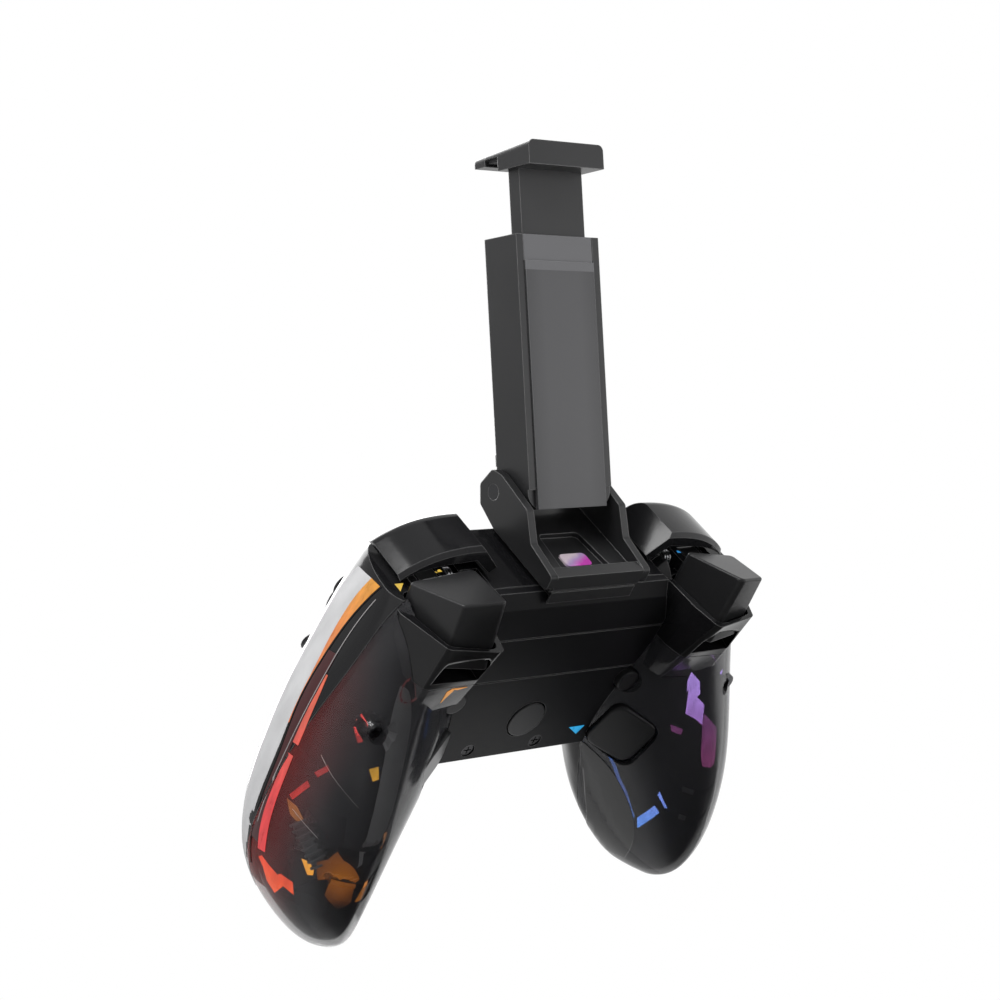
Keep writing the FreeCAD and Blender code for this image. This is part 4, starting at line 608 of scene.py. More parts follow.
def widened(path, widths):
    """Two edges on both sides of a path that runs along the grip."""
    upper = []
    lower = []
    for index, ((x, y, z), width) in enumerate(zip(path, widths)):
        ahead = Vector(path[min(index + 1, len(path) - 1)])
        back = Vector(path[max(index - 1, 0)])
        along = (ahead - back).normalized()
        across = Vector((along.x * -along.z, along.y * -along.z, 1.0 - along.z * along.z)).normalized()
        upper.append(Vector((x, y, z)) + across * width / 2.0)
        lower.append(Vector((x, y, z)) - across * width / 2.0)
    return upper, lower


def even(path, width):
    """Two edges of a strip that is equally wide all along."""
    return widened(path, [width] * len(path))


# In millimetres. A strip is held inside WIDEST by a LAYER for itself and for each strip after it,
# and is lifted a LAYER_STEP more than the one before
WIDEST = 74.49
LAYER = 0.004
LAYER_STEP = 0.012
LIFT = 0.07
FILM = 0.1
INNER_LIFT = 0.1
INNER_FILM = 0.08
LEFT_FILM = 0.04
FACET_DROP = 0.03
EMBEDDED = 0.4
LINER_LIFT = 0.18
COVER_LIFT = 0.12
COVER_FILM = 0.2
BAND_OUT = 0.5
SEAM_WIDTH = 0.4
HAIRLINE_WIDTH = 0.22
THREAD_WIDTH = 0.16
UPPER_WIDTHS = (0.5, 1.0, 1.4, 1.7, 1.8)
LOWER_WIDTHS = (1.8, 2.0, 2.3, 2.6, 2.7, 2.5)
EDGE_WIDTHS = (0.8, 1.4, 1.4, 1.1, 0.8, 0.5)

WEDGE_OUTER = (
    (56.6, -0.8, 27.6), (58.1, -4.8, 28.9), (59.6, -8.9, 29.7), (62.3, -17.0, 30.1), (65.5, -24.8, 28.6),
    (68.7, -33.2, 27.7), (70.3, -38.2, 26.9))
WEDGE_INNER = (
    (56.9, -0.8, 23.9), (58.3, -4.0, 25.1), (59.5, -7.6, 26.3), (61.9, -15.0, 28.0), (65.0, -23.6, 28.1),
    (68.3, -32.3, 27.6), (70.2, -38.0, 26.7))
BAND_INNER = WEDGE_OUTER + (
    (71.6, -43.3, 26.1), (73.2, -51.8, 25.7), (74.2, -60.1, 25.6), (74.2, -67.7, 25.4), (72.6, -76.0, 25.0),
    (68.5, -84.0, 24.6))
BAND_RISES = (7.5, 8.2, 8.8, 9.2, 9.4, 9.4, 9.3, 9.0, 8.4, 7.4, 6.0, 4.0, 1.2)
SEAM_PATH = (
    (56.4, -0.8, 23.5), (58.2, -3.8, 24.7), (60.5, -10.8, 27.0), (63.0, -18.3, 28.1), (66.0, -26.1, 28.0),
    (68.5, -32.8, 27.5), (71.5, -43.3, 25.2), (73.2, -51.8, 24.7), (74.2, -60.1, 24.6), (74.2, -67.7, 24.4),
    (72.8, -75.6, 23.6))
HAIRLINE_PATH = (
    (58.0, -3.5, 22.7), (60.3, -10.0, 24.2), (62.8, -17.6, 24.9), (64.8, -22.8, 24.6), (67.6, -30.3, 24.0),
    (71.4, -43.5, 23.4), (73.2, -52.3, 23.5), (74.2, -63.1, 23.2))
STRIPE_UPPER = (
    (65.2, -23.8, 23.8), (66.6, -28.0, 23.2), (68.0, -32.0, 22.8), (69.5, -37.0, 22.2), (70.4, -40.9, 21.9))
STRIPE_LOWER = (
    (71.1, -43.7, 21.8), (72.2, -48.5, 21.5), (73.1, -53.8, 21.4), (73.9, -60.3, 21.0), (73.9, -65.0, 20.5),
    (73.6, -69.2, 19.9))
BEZEL_LOWER = (
    (63.0, -19.0, 24.6), (65.1, -24.0, 24.2), (68.0, -32.0, 23.4), (70.4, -40.9, 22.7), (73.0, -53.8, 22.4),
    (73.9, -62.0, 22.0), (73.9, -68.0, 21.6))
BEZEL_UPPER = (
    (63.3, -19.5, 27.6), (65.9, -26.1, 27.6), (68.4, -32.8, 27.0), (71.3, -43.3, 24.9), (73.1, -51.8, 24.4),
    (74.1, -60.1, 24.3), (74.1, -67.7, 24.1))
FLANK_UPPER = (
    (-24.5, -54.3, 23.4), (-27.5, -60.0, 23.8), (-30.6, -66.0, 24.5), (-34.6, -74.0, 25.3),
    (-40.2, -82.5, 26.1), (-46.8, -90.0, 26.6))
FLANK_LOWER = (
    (-26.2, -54.8, 22.4), (-31.0, -58.2, 18.2), (-35.1, -62.3, 15.4), (-41.7, -72.2, 11.4),
    (-45.5, -81.5, 10.6), (-48.3, -89.7, 14.5))

RIGHT_CHIPS = {
    "red_chip": (
        (71.1, -74.2, 23.6), (71.4, -73.0, 22.3), (69.9, -74.8, 16.3), (70.1, -75.7, 18.2),
        (70.3, -76.7, 21.0)),
    "orange_chip": (
        (71.0, -74.6, 22.0), (69.9, -75.0, 16.7), (69.8, -73.8, 15.5), (68.4, -74.1, 12.0),
        (67.4, -77.6, 11.6), (68.8, -76.9, 14.5), (67.9, -81.6, 18.0), (69.1, -79.7, 20.6)),
    "long_bar": (
        (70.5, -53.5, 19.3), (70.2, -54.1, 18.0), (68.2, -49.1, 15.6), (68.5, -48.1, 16.7)),
    "short_bar": (
        (67.6, -45.6, 16.1), (67.1, -46.3, 15.0), (65.4, -43.7, 13.6), (65.7, -42.7, 14.4)),
    "upper_slash": (
        (59.6, -30.2, 14.6), (60.0, -29.7, 13.6), (59.6, -31.2, 11.5)),
    "lower_slash": (
        (61.4, -32.5, 14.2), (60.6, -32.3, 13.7), (59.6, -35.2, 11.6), (60.6, -35.8, 12.1)),
}
AMBER_CHIPS = {
    "yellow_chip": (
        (68.4, -66.6, 11.2), (66.4, -66.6, 8.4), (66.2, -69.6, 8.1), (67.0, -70.1, 9.2)),
    "inner_yellow_chip": (
        (58.0, -41.2, 8.6), (55.9, -40.4, 8.0), (55.6, -43.3, 7.0), (57.0, -43.9, 7.3)),
}
BROWN_CHIPS = {
    "brown_chip": (
        (70.8, -54.6, 19.5), (69.7, -55.0, 16.3), (68.6, -57.7, 13.1), (69.8, -58.3, 15.2),
        (70.5, -57.6, 17.1)),
    "tip_orange_chip": (
        (54.8, -69.4, 2.9), (52.6, -71.0, 3.2), (54.0, -75.4, 3.0), (56.4, -75.0, 2.4)),
    "foot_orange_chip": (
        (52.4, -56.6, 3.6), (50.4, -57.6, 4.6), (50.8, -61.6, 4.6)),
}
GREY_FACET = (
    (53.1, -20.5, 12.4), (50.4, -21.1, 11.4), (49.2, -31.7, 9.1), (52.0, -49.3, 4.9), (55.9, -62.0, 3.3),
    (58.6, -64.4, 3.1), (57.1, -53.1, 4.5), (54.8, -36.9, 8.8), (54.4, -27.2, 11.4))
GLOW_PLATE = (
    (65.9, -64.9, 8.0), (63.3, -62.5, 5.9), (60.4, -63.1, 4.1), (57.8, -66.2, 2.6), (57.1, -69.3, 2.2),
    (58.1, -74.6, 2.4), (60.4, -76.0, 3.5), (62.7, -74.2, 4.8), (65.5, -69.3, 7.3))
PALE_LINES = (((66.2, -40.8, 16.3), (65.2, -43.6, 13.5), (62.8, -46.9, 9.6), (60.0, -49.9, 6.7)),
              ((69.8, -55.3, 16.5), (68.3, -57.2, 12.8), (66.4, -59.2, 9.6)))
RING_CENTRE = (50.8, -21.4, 11.5)

# Painted reflections of the LED light inside the left grip, each a list of corners
LEFT_CHIPS = {
    "lavender_reflector": (
        (-44.5, -27.6, 11.3), (-47.4, -29.9, 9.9), (-48.4, -33.5, 9.1), (-47.7, -34.5, 9.3),
        (-50.4, -36.5, 8.1), (-50.7, -42.0, 6.8), (-48.5, -40.7, 7.9), (-45.6, -39.5, 9.4),
        (-44.2, -30.3, 11.2)),
}
MAUVE_CHIPS = {
    "mauve_reflector": (
        (-48.9, -41.2, 7.7), (-50.7, -42.0, 6.8), (-50.9, -39.1, 7.5), (-57.9, -44.5, 7.4),
        (-59.0, -54.4, 4.9), (-56.4, -54.7, 3.9), (-53.0, -53.7, 3.8)),
    "plum_reflector": (
        (-42.5, -43.2, 10.4), (-45.9, -44.0, 8.6), (-45.7, -45.6, 8.4), (-43.2, -45.1, 9.8)),
    "violet_reflector": (
        (-46.0, -20.6, 9.6), (-49.9, -21.3, 8.9), (-54.0, -26.1, 11.2), (-50.7, -23.6, 11.0)),
}
BLUE_CHIPS = {
    "blue_reflector": (
        (-44.2, -74.6, 11.9), (-45.7, -68.7, 8.8), (-47.3, -70.6, 7.7), (-45.5, -78.1, 11.7)),
    "blue_streak": (
        (-45.2, -63.8, 8.4), (-48.3, -68.4, 6.5), (-47.9, -68.7, 6.9), (-45.2, -65.1, 8.6)),
}
NAVY_FACET = (
    (-47.6, -84.8, 12.4), (-48.8, -79.1, 8.1), (-51.7, -73.7, 4.4), (-53.1, -75.7, 3.5), (-52.7, -82.2, 5.1),
    (-52.0, -92.5, 14.0))
LEFT_FACET = (
    (-42.2, -36.8, 11.5), (-45.1, -32.9, 10.6), (-45.7, -39.7, 9.4), (-48.7, -41.1, 7.8),
    (-50.8, -42.3, 6.7), (-52.0, -51.5, 4.5), (-52.9, -63.6, 3.0), (-53.2, -73.3, 3.2), (-51.5, -71.3, 4.3),
    (-49.0, -57.1, 5.5), (-46.6, -43.6, 8.4))
BLUE_EDGE = (
    (-32.5, -56.9, 18.7), (-34.6, -59.8, 17.5), (-36.8, -63.6, 16.4), (-39.6, -67.5, 14.7),
    (-42.1, -72.1, 13.4), (-43.7, -74.8, 12.5))
CYAN_CHIP = ((-17.4, -48.0, 21.8), (-22.8, -48.0, 21.8), (-21.2, -50.8, 22.3))
# Painted glints, each a list of corners
BUTTON_GLINTS = (((41.5, -25.4, 9.4), (42.2, -21.2, 7.6), (41.2, -20.3, 7.2), (40.3, -20.8, 7.4)),
                 ((41.4, -20.2, 7.1), (36.6, -20.4, 7.0), (39.2, -21.0, 7.4)))
SHOULDER_GLINTS = (((42.6, 1.3, 24.4), (39.0, 1.3, 24.6), (39.2, 1.1, 25.4), (42.3, 1.1, 25.2)),
                   ((53.4, -0.1, 23.2), (51.0, 0.0, 23.1), (53.3, -0.4, 20.6)))

RING_ACROSS = (0.55, -0.75, -0.25)
RING_UP = (0.68, 0.62, -0.38)
RING_OUTER = 3.6
RING_INNER = 3.0
RING_STEPS = 12
# The centre and reach of the painted pool of amber light
POOL_CENTRE = (61.5, -67.5, 4.0)
POOL_REACH = 9.0
# Factors on the inner glow. Those of mauve and the blue edge come on top of the left side's
BROWN_GLOW = 0.35
RING_GLOW = 0.1
LIGHT_POOL_GLOW = 0.24
LEFT_GLOW = 6.0
MAUVE_GLOW = 0.3
BLUE_EDGE_GLOW = 0.35
# Factor on the outer glow
BLUE_GLINT_GLOW = 0.8

# The line along a right grip's middle, and how far a normal turns to it on an inner wall
AXIS_TOP = (44.0, -3.0, 24.0)
AXIS_TIP = (52.0, -64.0, 23.0)
INWARD = 0.12
# The opening of the right liner: how far out it starts, and its ranges of y and z
WINDOW_SIDE = 62.0
WINDOW_Y = (-80.0, -53.0)
WINDOW_Z = (4.0, 14.0)

SLEEVE_START = (68.6, -58.6, 15.2)
SLEEVE_END = (65.0, -66.4, 8.0)
SLEEVE_RADIUS = 2.1
FIN_COUNT = 8
# Radius, depth, width of the rounded rim, and sides
FIN = (2.7, 0.6, 0.15, 24)
LENS = (0.55, 0.3, 0.12, 20)

# The drawing's body frame: its pitch in degrees, its shift in y and z, and heights in it
BODY_PITCH = 10.3757
BODY_SHIFT = (-28.65, 18.3074)
FACE_HEIGHT = 26.0
BUTTON_TOP = 29.4
BUTTON_PLACES = (("button_south", 40.0, 1.8), ("button_east", 48.7, 10.5), ("button_west", 31.3, 10.5),
                 ("button_north", 40.0, 19.2))
NUMBER_SIZE = 4.2
NUMBER_DEPTH = 0.03
LIGHT_COUNT = 4
LIGHT_SPACING = 2.6
LIGHT_LINE = -0.4
STATUS_GLOW = 0.6

SIDES = (("right", 1), ("left", -1))
GUIDE_SLOTS = {1: "guide_clear", -1: "guide_clear_left"}


def colour_setting(name, description, default):
    return bpy.props.FloatVectorProperty(
        name=name, description=description, subtype="COLOR", size=3, default=default, min=0.0, max=1.0)


def number_setting(name, description, default, most=20.0, subtype="NONE"):
    return bpy.props.FloatProperty(
        name=name, description=description, subtype=subtype, default=default, min=0.0, max=most)


class GamepadLooks(bpy.types.PropertyGroup):
    """Colours and finishes of the mouldings."""

    gloss_colour: colour_setting(
        "Gloss black", "Colour of the polished mouldings", (0.005, 0.005, 0.0055))
    satin_colour: colour_setting(
        "Satin black", "Colour of the grained mouldings", (0.009, 0.009, 0.0095))
    plate_colour: colour_setting(
        "Back plate", "Colour of the plate between the grips", (0.004, 0.004, 0.0045))
    arm_colour: colour_setting("Arm cover", "Colour of the clamp arm's cover", (0.036, 0.036, 0.038))
    smoke: colour_setting("Smoke", "Colour of the clear shells", (0.02, 0.02, 0.022))
    smoke_cover: number_setting(
        "Smoke cover", "How much one face of the clear shells hides", 0.5, 1.0, "FACTOR")
    left_cover: number_setting(
        "Left smoke cover", "How much one face of the darker left shell hides", 0.8, 1.0, "FACTOR")
    glow: number_setting("Glow", "Brightness of the light guides", 3.2)
    film_glow: number_setting("Outer glow", "Brightness of the lit strips on the shells", 1.0)
    # The inner glow is the brightness of the painted light inside the grips
    inner_glow: number_setting(
        "Inner glow", "Brightness of the painted light behind the smoked shells", 3.6)
    # The pale band along the outer edge is a painted reflection of the polished front shell turning away
    band_colour: colour_setting(
        "Edge reflection", "Colour of the pale band along the outer edge", (0.36, 0.36, 0.365))


class GAMEPAD_OT_finishes(bpy.types.Operator):
    """Puts a finish on every CAD node by its material slot"""

    bl_idname = "gamepad.finishes"
    bl_label = "Finishes"

    def execute(self, context):
        looks = context.scene.gamepad_looks
        made = {}
        for part in frame["record"]["subparts"]:
            slot = part["material_slot"]
            if slot not in made:
                made[slot] = finish_of(slot, looks)
            node = NODES[part["node"]]
            node.data.materials.clear()
            node.data.materials.append(made[slot])
        cover = looks.left_cover
        dark = smoked_shell("dark smoked shell", looks.smoke, COOL_PAINTED_GLOW, cover, cover)
        NODES["rear_shell_left"].data.materials[0] = dark
        blackened = metal("blackened steel", (0.035, 0.035, 0.037), 0.3, (1.0, 1.0, 1.0))
        for name in ("shell_screws", "tilt_pin", "trigger_pins"):
            NODES[name].data.materials[0] = blackened
        return {"FINISHED"}


def grip_ground(side, inner=False):
    """One grip's outer or inner walls, for films to lie on. It is deleted after use."""
    shell = "rear_shell_right" if side > 0 else "rear_shell_left"
    ground = node_copy("front_shell", shell)
    return keep_faces(ground, lambda centre, normal: faces_inward(centre, normal) == inner)


def faces_inward(centre, normal):
    """True on a grip's inner wall: its normal points to the line along the grip's middle."""
    share = (AXIS_TOP[1] - centre.y) / (AXIS_TOP[1] - AXIS_TIP[1])
    middle = Vector(AXIS_TOP).lerp(Vector(AXIS_TIP), min(1.0, max(0.0, share)))
    middle.x = math.copysign(middle.x, centre.x)
    return normal.dot((middle - centre).normalized()) > INWARD


def in_window(centre):
    """The stretch of the outer wall near the tip that stays open to the inside."""
    along = WINDOW_Y[0] < centre.y < WINDOW_Y[1]
    return centre.x > WINDOW_SIDE and along and WINDOW_Z[0] < centre.z < WINDOW_Z[1]


def grip_liner(node, window):
    """The inner wall of a grip's shell, lifted off it towards the inside."""
    piece = node_copy(node)
    if window:
        for axis, place in ((0, WINDOW_SIDE), (1, WINDOW_Y[1]), (1, WINDOW_Y[0]), (2, WINDOW_Z[1])):
            normal = Vector()
            normal[axis] = 1.0
            edited(piece, bpy.ops.mesh.bisect, plane_co=normal * place * MM, plane_no=normal)

    def lined(centre, normal):
        return faces_inward(centre, normal) and not (window and in_window(centre))

    keep_faces(piece, lined)
    modify(piece, "DISPLACE", strength=LINER_LIFT * MM, mid_level=0.0)
    return modify(piece, "SOLIDIFY", thickness=FILM * MM, offset=1.0)


class GAMEPAD_OT_liners(bpy.types.Operator):
    """Lines both grips with a dark sheet inside their walls, which stands for the dark chassis and for the
    shade inside them
    """

    bl_idname = "gamepad.liners"
    bl_label = "Grip liners"

    def execute(self, context):
        # Painted shade: the dark liner darkens the grips' insides as well as standing for their chassis
        finish = chassis_plastic("grip chassis and painted shade")
        for side in ("right", "left"):
            piece = grip_liner("rear_shell_" + side, side == "right")
            finished(piece, side + "_grip_liner", finish)
        return {"FINISHED"}


class GAMEPAD_OT_flank_lights(bpy.types.Operator):
    """Lays the lit strips, their dark frames, a painted rim highlight and a pale band of painted reflection
    along the outer flanks
    """

    bl_idname = "gamepad.flank_lights"
    bl_label = "Flank lights"

    def execute(self, context):
        looks = context.scene.gamepad_looks
        dark = tinted_film("seam gasket", (0.004, 0.004, 0.004), 0.5, 0.1)
        # Painted reflection: a pale film along the outer edge
        pale = tinted_film("painted edge reflection", looks.band_colour, 0.5, 0.0)
        # Painted highlight: a thin grey line along the rear shell's rim
        hair = tinted_film("painted rim highlight", (0.2, 0.19, 0.19), 0.2)
        outer = [(x + BAND_OUT, y, z + rise) for (x, y, z), rise in zip(BAND_INNER, BAND_RISES)]
        for word, side in SIDES:
            warm = side > 0
            ground = grip_ground(side)
            slot = GUIDE_SLOTS[side]
            wedge = lit_film(word + " wedge light", AMBER_WEDGE if warm else VIOLET_WEDGE, looks.film_glow)
            stripe = lit_film(word + " stripe light", CORAL_STRIPE if warm else BLUE_STRIPE, looks.film_glow)
            bezel = tinted_film(word + " stripe frame", FRAME_RED if warm else FRAME_BLUE, 0.25)
            strips = (
                ("edge_band", outer, BAND_INNER, pale, "gloss_black"),
                ("wedge_light", WEDGE_OUTER, WEDGE_INNER, wedge, slot),
                ("stripe_frame", BEZEL_UPPER, BEZEL_LOWER, bezel, slot),
                ("seam_gasket", *even(SEAM_PATH, SEAM_WIDTH), dark, "gloss_black"),
                ("hairline", *even(HAIRLINE_PATH, HAIRLINE_WIDTH), hair, slot),
                ("upper_stripe_light", *widened(STRIPE_UPPER, UPPER_WIDTHS), stripe, slot),
                ("lower_stripe_light", *widened(STRIPE_LOWER, LOWER_WIDTHS), stripe, slot),
            )
            for height, (name, upper, lower, finish, kind) in enumerate(strips):
                piece = ribbon(beside(upper, side), beside(lower, side))
                laid_on(piece, ground, LIFT + height * LAYER_STEP, FILM)
                held_inside(piece, side, WIDEST - LAYER * (len(strips) - height))
                finished(piece, word + "_" + name, finish)
            bpy.data.objects.remove(ground)
        return {"FINISHED"}


def chips(*groups):
    """The name, the piece and the finish of every chip in some groups."""
    return [(name, chip(corners), finish) for group, finish in groups for name, corners in group.items()]


class GAMEPAD_OT_inner_lights(bpy.types.Operator):
    """Puts the films that show through the smoked grips: glowing ones of painted LED light, and unlit dark
    and grey ones
    """

    bl_idname = "gamepad.inner_lights"
    bl_label = "Inner lights"

    def execute(self, context):
        inner = context.scene.gamepad_looks.inner_glow
        # Painted light: glowing films on the right grip's inner wall stand for the LED light inside it, with
        # a painted pool of amber light and a faint painted red ring
        red = lit_film("red painted glow", RED_PAINTED_LIGHT, inner)
        amber = lit_film("amber painted glow", AMBER_PAINTED_LIGHT, inner)
        brown = lit_film("brown painted glow", BROWN_PAINTED_LIGHT, inner * BROWN_GLOW)
        ring = lit_film("faint red ring", RED_PAINTED_LIGHT, inner * RING_GLOW)
        facet = tinted_film("grey facet", (0.14, 0.14, 0.143), 0.35)
        pale = tinted_film("pale thread", (0.6, 0.58, 0.55), 0.3)
        plate = glow_plate("amber painted light pool", POOL_CENTRE, POOL_REACH, LIGHT_POOL, inner * LIGHT_POOL_GLOW)
        ground = grip_ground(1, inner=True)
        rows = chips((RIGHT_CHIPS, red), (AMBER_CHIPS, amber), (BROWN_CHIPS, brown))
        flat = [(*row, False) for row in rows]
        flat.append(("amber_light_pool", chip(GLOW_PLATE), plate, True))
        flat.append(("right_grey_facet", chip(GREY_FACET), facet, True))
        for index, path in enumerate(PALE_LINES):
            flat.append((f"pale_thread_{index}", ribbon(*even(path, THREAD_WIDTH)), pale, True))
        flat.append(("red_ring", self.ring(), ring, True))
        skin = grip_ground(1)
        for name, piece, finish, embedded in flat:
            wall, lift = (skin, -EMBEDDED) if embedded else (ground, INNER_LIFT)
            laid_on(piece, wall, lift, INNER_FILM, embedded)
            finished(piece, name, finish)
        bpy.data.objects.remove(ground)
        bpy.data.objects.remove(skin)
        self.left_side(inner * LEFT_GLOW)
        return {"FINISHED"}

    @staticmethod
    def ring():
        """A ring in the wall, beside the trigger guard."""
        centre = Vector(RING_CENTRE)
        across = Vector(RING_ACROSS).normalized()
        up = Vector(RING_UP).normalized()
        points = []
        for step in range(RING_STEPS + 1):
            angle = step * math.tau / RING_STEPS
            points.append(across * math.cos(angle) + up * math.sin(angle))
        return ribbon([centre + point * RING_OUTER for point in points],
                      [centre + point * RING_INNER for point in points])

    @staticmethod
    def left_side(inner):
        # Painted reflections: the left grip's purple and blue patches and its blue edge are films on the
        # inner wall that glow
        lavender = lit_film("lavender painted reflection", LAVENDER_PAINTED_LIGHT, inner)
        mauve = lit_film("mauve painted reflection", MAUVE_PAINTED_LIGHT, inner * MAUVE_GLOW)
        blue = lit_film("blue painted reflection", BLUE_PAINTED_LIGHT, inner)
        edge = lit_film("blue edge", BLUE_PAINTED_LIGHT, inner * BLUE_EDGE_GLOW)
        navy = tinted_film("navy facet", (0.12, 0.16, 0.45), 0.35)
        facet = tinted_film("left grey facet", (0.4, 0.4, 0.41), 0.35)
        ground = grip_ground(-1, inner=True)
        flat = chips((LEFT_CHIPS, lavender), (MAUVE_CHIPS, mauve), (BLUE_CHIPS, blue))
        flat.append(("navy_facet", chip(NAVY_FACET), navy))
        flat.append(("left_grey_facet", chip(LEFT_FACET), facet))
        flat.append(("blue_edge", ribbon(*widened(BLUE_EDGE, EDGE_WIDTHS)), edge))
        for name, piece, finish in flat:
            lift = INNER_LIFT - FACET_DROP if name == "left_grey_facet" else INNER_LIFT
            laid_on(piece, ground, lift, LEFT_FILM, False)
            finished(piece, name, finish)
        bpy.data.objects.remove(ground)


class GAMEPAD_OT_flank_covers(bpy.types.Operator):
    """Lays the polished covers over the inner flanks of both grips"""

    bl_idname = "gamepad.flank_covers"
    bl_label = "Flank covers"

    def execute(self, context):
        looks = context.scene.gamepad_looks
        finish = plastic("polished flank", looks.gloss_colour, 0.1, 0.4, 0.003, 0.5)
        # The flank is drawn on the left grip, so it is the right one that is mirrored
        for word, side in reversed(SIDES):
            ground = grip_ground(side)
            piece = ribbon(beside(FLANK_UPPER, -side), beside(FLANK_LOWER, -side))
            laid_on(piece, ground, COVER_LIFT, COVER_FILM)
            finished(piece, word + "_flank_cover", finish)
            bpy.data.objects.remove(ground)
        return {"FINISHED"}


class GAMEPAD_OT_glints(bpy.types.Operator):
    """Adds the painted glints beside the triggers, the rear buttons and on the plate: small films that glow
    """

    bl_idname = "gamepad.glints"
    bl_label = "Glints"

    def execute(self, context):
        glow = context.scene.gamepad_looks.film_glow
        # Painted glints: small glowing films where light catches the shell, the guards and the plate
        amber = lit_film("amber glint", AMBER_PAINTED_LIGHT, glow)
        blue = lit_film("blue glint", BLUE_PAINTED_LIGHT, glow * BLUE_GLINT_GLOW)
        for word, side in SIDES:
            ground = node_copy("front_shell", "rear_shell_" + word, word + "_trigger_guard")
            finish = amber if side > 0 else blue
            places = BUTTON_GLINTS + SHOULDER_GLINTS if side > 0 else SHOULDER_GLINTS[:1]
            for index, corners in enumerate(places):
                piece = laid_on(chip(beside(corners, side)), ground, LIFT, FILM, False)
                finished(piece, f"{word}_glint_{index}", finish)
            bpy.data.objects.remove(ground)
        plate = node_copy("back_plate")
        piece = laid_on(chip(CYAN_CHIP), plate, LIFT, FILM, False)
        cyan = lit_film("cyan glint", CYAN_PAINTED_LIGHT, glow)
        finished(piece, "plate_glint", cyan)
        bpy.data.objects.remove(plate)
        return {"FINISHED"}


class GAMEPAD_OT_connector(bpy.types.Operator):
    """Builds the ribbed cable sleeve that shows behind the right grip's wall"""

    bl_idname = "gamepad.connector"
    bl_label = "Cable sleeve"

    def execute(self, context):
        start = Vector(SLEEVE_START)
        end = Vector(SLEEVE_END)
        turn = (end - start).normalized().to_track_quat("Z", "X").to_euler()
        pieces = [disc(start.lerp(end, step / (FIN_COUNT - 1)) * MM, turn, *FIN)
                  for step in range(FIN_COUNT)]
        pieces.append(fresh(
            bpy.ops.mesh.primitive_cylinder_add, vertices=20, radius=SLEEVE_RADIUS * MM,
            depth=(end - start).length * MM, location=(start + end) / 2.0 * MM, rotation=turn))
        finish = rubber("ribbed sleeve", (0.05, 0.05, 0.052))
        finished(placed(joined(pieces)), "cable_sleeve", finish)
        return {"FINISHED"}


def from_body(place):
    """A point in the body frame of the drawing, moved to where the lying gamepad has it."""
    x, y, z = place
    tilt = math.radians(BODY_PITCH)
    return Vector((x, y * math.cos(tilt) + z * math.sin(tilt) + BODY_SHIFT[0],
                   z * math.cos(tilt) - y * math.sin(tilt) + BODY_SHIFT[1])) * MM


class GAMEPAD_OT_marks(bpy.types.Operator):
    """Prints plain numbers on the face buttons and sets the status lights"""

    bl_idname = "gamepad.marks"
    bl_label = "Marks"

    def execute(self, context):
        ink = tinted_film("grey print", (0.35, 0.35, 0.36), 0.45)
        turn = (-math.radians(BODY_PITCH), 0.0, 0.0)
        for number, (name, x, y) in enumerate(BUTTON_PLACES, 1):
            place = from_body((x, y, BUTTON_TOP))
            piece = fresh(bpy.ops.object.text_add, location=place, rotation=turn)
            piece.data.body = str(number)
            piece.data.size = NUMBER_SIZE * MM
            piece.data.extrude = NUMBER_DEPTH * MM
            piece.data.align_x = "CENTER"
            piece.data.align_y = "CENTER"
            bpy.ops.object.convert(target="MESH")
            finished(placed(context.active_object), name + "_number", ink, name + "_body")
        lights = []
        for step in range(LIGHT_COUNT):
            across = (step - (LIGHT_COUNT - 1) / 2.0) * LIGHT_SPACING
            lights.append(disc(from_body((across, LIGHT_LINE, FACE_HEIGHT)), turn, *LENS))
        lamp = lit_film("status light", STATUS, STATUS_GLOW)
        finished(placed(joined(lights)), "status_lights", lamp)
        return {"FINISHED"}


class GamepadStage(bpy.types.PropertyGroup):
    """The floor, the lamps and the camera."""

    floor_size: bpy.props.FloatProperty(
        name="Floor", description="Width of the floor", unit="LENGTH", default=3.0, min=0.5)
    lamp_power: bpy.props.FloatProperty(
        name="Lamps", description="Power of the key lamp in watts", default=6.0, min=0.0)
    lens: bpy.props.FloatProperty(
        name="Lens", description="Focal length of the camera", subtype="DISTANCE_CAMERA",
        default=72.71, min=1.0)


# Shares of the floor's width between which it fades out, and the strength of the fill light
FLOOR_RIM = (0.22, 0.48)
FILL_LIGHT = 0.45
MIDDLE = (0.0, -0.01, 0.03)
# Each lamp's name, place, aim and size in metres, and its share of the key lamp's power
LAMPS = (
    ("key lamp", (0.42, 0.62, 0.2), MIDDLE, (0.35, 0.35), 1.0),
    ("overhead lamp", (-0.1, -0.1, 0.8), MIDDLE, (0.7, 0.7), 1.6),
    ("low lamp", (-0.5, 0.2, -0.45), MIDDLE, (0.3, 0.5), 0.5),
    ("strip lamp", (0.326, 0.042, -0.463), (0.063, -0.037, 0.012), (0.16, 0.3), 0.06),
)
CAMERA_PLACE = Vector((331.6, 202.072, -296.799)) * MM
CAMERA_UP = Vector((-0.0405, 0.88556, 0.46298))
CAMERA_AHEAD = Vector((-0.6355, -0.38041, 0.67190))
SENSOR_WIDTH = 36.0
NEAREST = 0.01


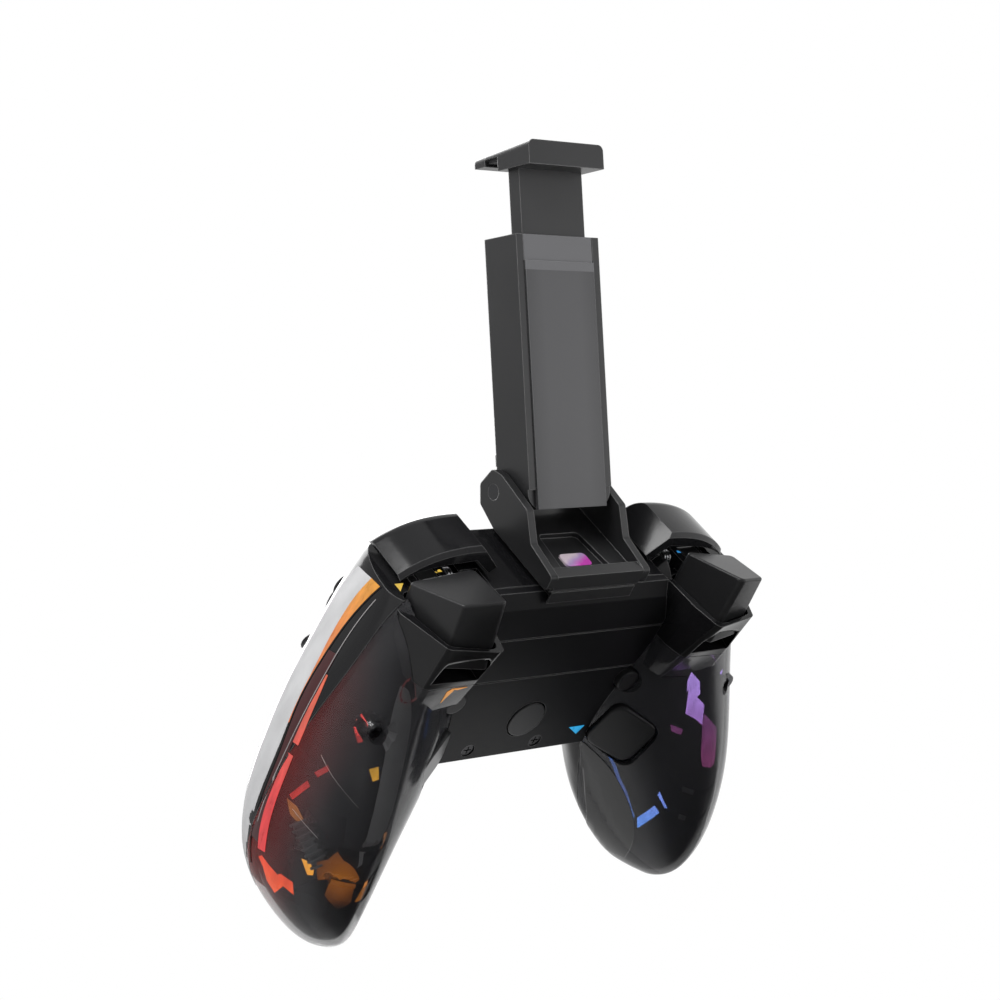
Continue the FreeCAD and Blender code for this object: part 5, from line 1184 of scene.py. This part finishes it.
def stage_floor(size):
    """A pale floor, seen from above only and faded out towards its rim."""
    floor = fresh(bpy.ops.mesh.primitive_grid_add, x_subdivisions=8, y_subdivisions=8, size=size)
    floor.name = "floor"
    g, point = new_finish("pale floor")
    x, y, _ = g.split(point)
    rim = (x * x + y * y).root().between(size / MM * FLOOR_RIM[0], size / MM * FLOOR_RIM[1])
    below = g.node("NewGeometry", output="Backfacing")
    lamp_ray = g.node("LightPath", output="Is Shadow Ray")
    paint = g.node("BsdfDiffuse", None, {
        "Color": g.blend(g.noise(point, 60.0), (0.78, 0.78, 0.78), (0.8, 0.8, 0.8))})
    clear = g.node("BsdfTransparent")
    hidden = rim.at_least(below).at_least(lamp_ray)
    g.show(g.node("MixShader", None, {0: hidden, 1: paint, 2: clear}))
    floor.data.materials.append(g.material)


def stage_world():
    """White behind the object and in its reflections, and a softer fill light."""
    world = bpy.data.worlds.new("studio")
    bpy.context.scene.world = world
    world.use_nodes = True
    g = Graph(world.node_tree)
    seen = g.node("LightPath", output="Is Camera Ray")
    glossy = g.node("LightPath", output="Is Glossy Ray")
    passed = g.node("LightPath", output="Is Transmission Ray")
    white = g.node("Background", None, {"Color": (1.0, 1.0, 1.0), "Strength": 1.0})
    fill = g.node("Background", None, {"Color": (1.0, 1.0, 1.0), "Strength": FILL_LIGHT})
    shown = seen.at_least(glossy).at_least(passed)
    both = g.node("MixShader", None, {0: shown, 1: fill, 2: white})
    g.node("OutputWorld", None, {"Surface": both})


def stage_lamp(name, place, aim, size, power):
    bpy.ops.object.light_add(type="AREA", location=place)
    lamp = bpy.context.active_object
    lamp.name = name
    lamp.data.shape = "RECTANGLE"
    lamp.data.size, lamp.data.size_y = size
    lamp.data.energy = power
    lamp.rotation_euler = (Vector(aim) - Vector(place)).to_track_quat("-Z", "Y").to_euler()


def stage_camera(lens):
    """The photograph's own view, from behind and below the lying gamepad."""
    camera = bpy.data.objects.new("camera", bpy.data.cameras.new("camera"))
    bpy.context.scene.collection.objects.link(camera)
    ahead = CAMERA_AHEAD.normalized()
    right = ahead.cross(CAMERA_UP).normalized()
    turn = Matrix((right, right.cross(ahead), -ahead)).transposed()
    camera.matrix_world = Matrix.Translation(CAMERA_PLACE) @ turn.to_4x4()
    camera.data.lens = lens
    camera.data.sensor_width = SENSOR_WIDTH
    camera.data.clip_start = NEAREST
    bpy.context.scene.camera = camera


class GAMEPAD_OT_stage(bpy.types.Operator):
    """Sets up the floor, the soft lamps, the white surroundings and the camera"""

    bl_idname = "gamepad.stage"
    bl_label = "Stage"

    def execute(self, context):
        stage = context.scene.gamepad_stage
        stage_floor(stage.floor_size)
        stage_world()
        for name, place, aim, size, share in LAMPS:
            stage_lamp(name, place, aim, size, stage.lamp_power * share)
        stage_camera(stage.lens)
        context.scene.view_settings.view_transform = "Standard"
        return {"FINISHED"}


class GAMEPAD_PT_looks(bpy.types.Panel):
    """Lists the steps that dress the gamepad"""

    bl_idname = "GAMEPAD_PT_looks"
    bl_label = "Gamepad"
    bl_space_type = "VIEW_3D"
    bl_region_type = "UI"
    bl_category = "Gamepad"

    def draw(self, context):
        for group in (context.scene.gamepad_looks, context.scene.gamepad_stage):
            for key in group.bl_rna.properties.keys():
                if key not in ("rna_type", "name"):
                    self.layout.prop(group, key)
        for step in STEPS:
            self.layout.operator(step.bl_idname)


STEPS = (GAMEPAD_OT_finishes, GAMEPAD_OT_liners, GAMEPAD_OT_flank_lights, GAMEPAD_OT_inner_lights,
         GAMEPAD_OT_flank_covers, GAMEPAD_OT_glints, GAMEPAD_OT_connector, GAMEPAD_OT_marks,
         GAMEPAD_OT_stage)
CLASSES = (GamepadLooks, GamepadStage, *STEPS, GAMEPAD_PT_looks)


def register():
    for item in CLASSES:
        bpy.utils.register_class(item)
    bpy.types.Scene.gamepad_looks = bpy.props.PointerProperty(type=GamepadLooks)
    bpy.types.Scene.gamepad_stage = bpy.props.PointerProperty(type=GamepadStage)


def unregister():
    del bpy.types.Scene.gamepad_looks
    del bpy.types.Scene.gamepad_stage
    for item in reversed(CLASSES):
        bpy.utils.unregister_class(item)


def main():
    register()
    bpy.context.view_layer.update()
    bpy.ops.gamepad.finishes()
    bpy.ops.gamepad.liners()
    bpy.ops.gamepad.flank_lights()
    bpy.ops.gamepad.inner_lights()
    bpy.ops.gamepad.flank_covers()
    bpy.ops.gamepad.glints()
    bpy.ops.gamepad.connector()
    bpy.ops.gamepad.marks()
    bpy.ops.gamepad.stage()


if __name__ == "__main__":
    main()
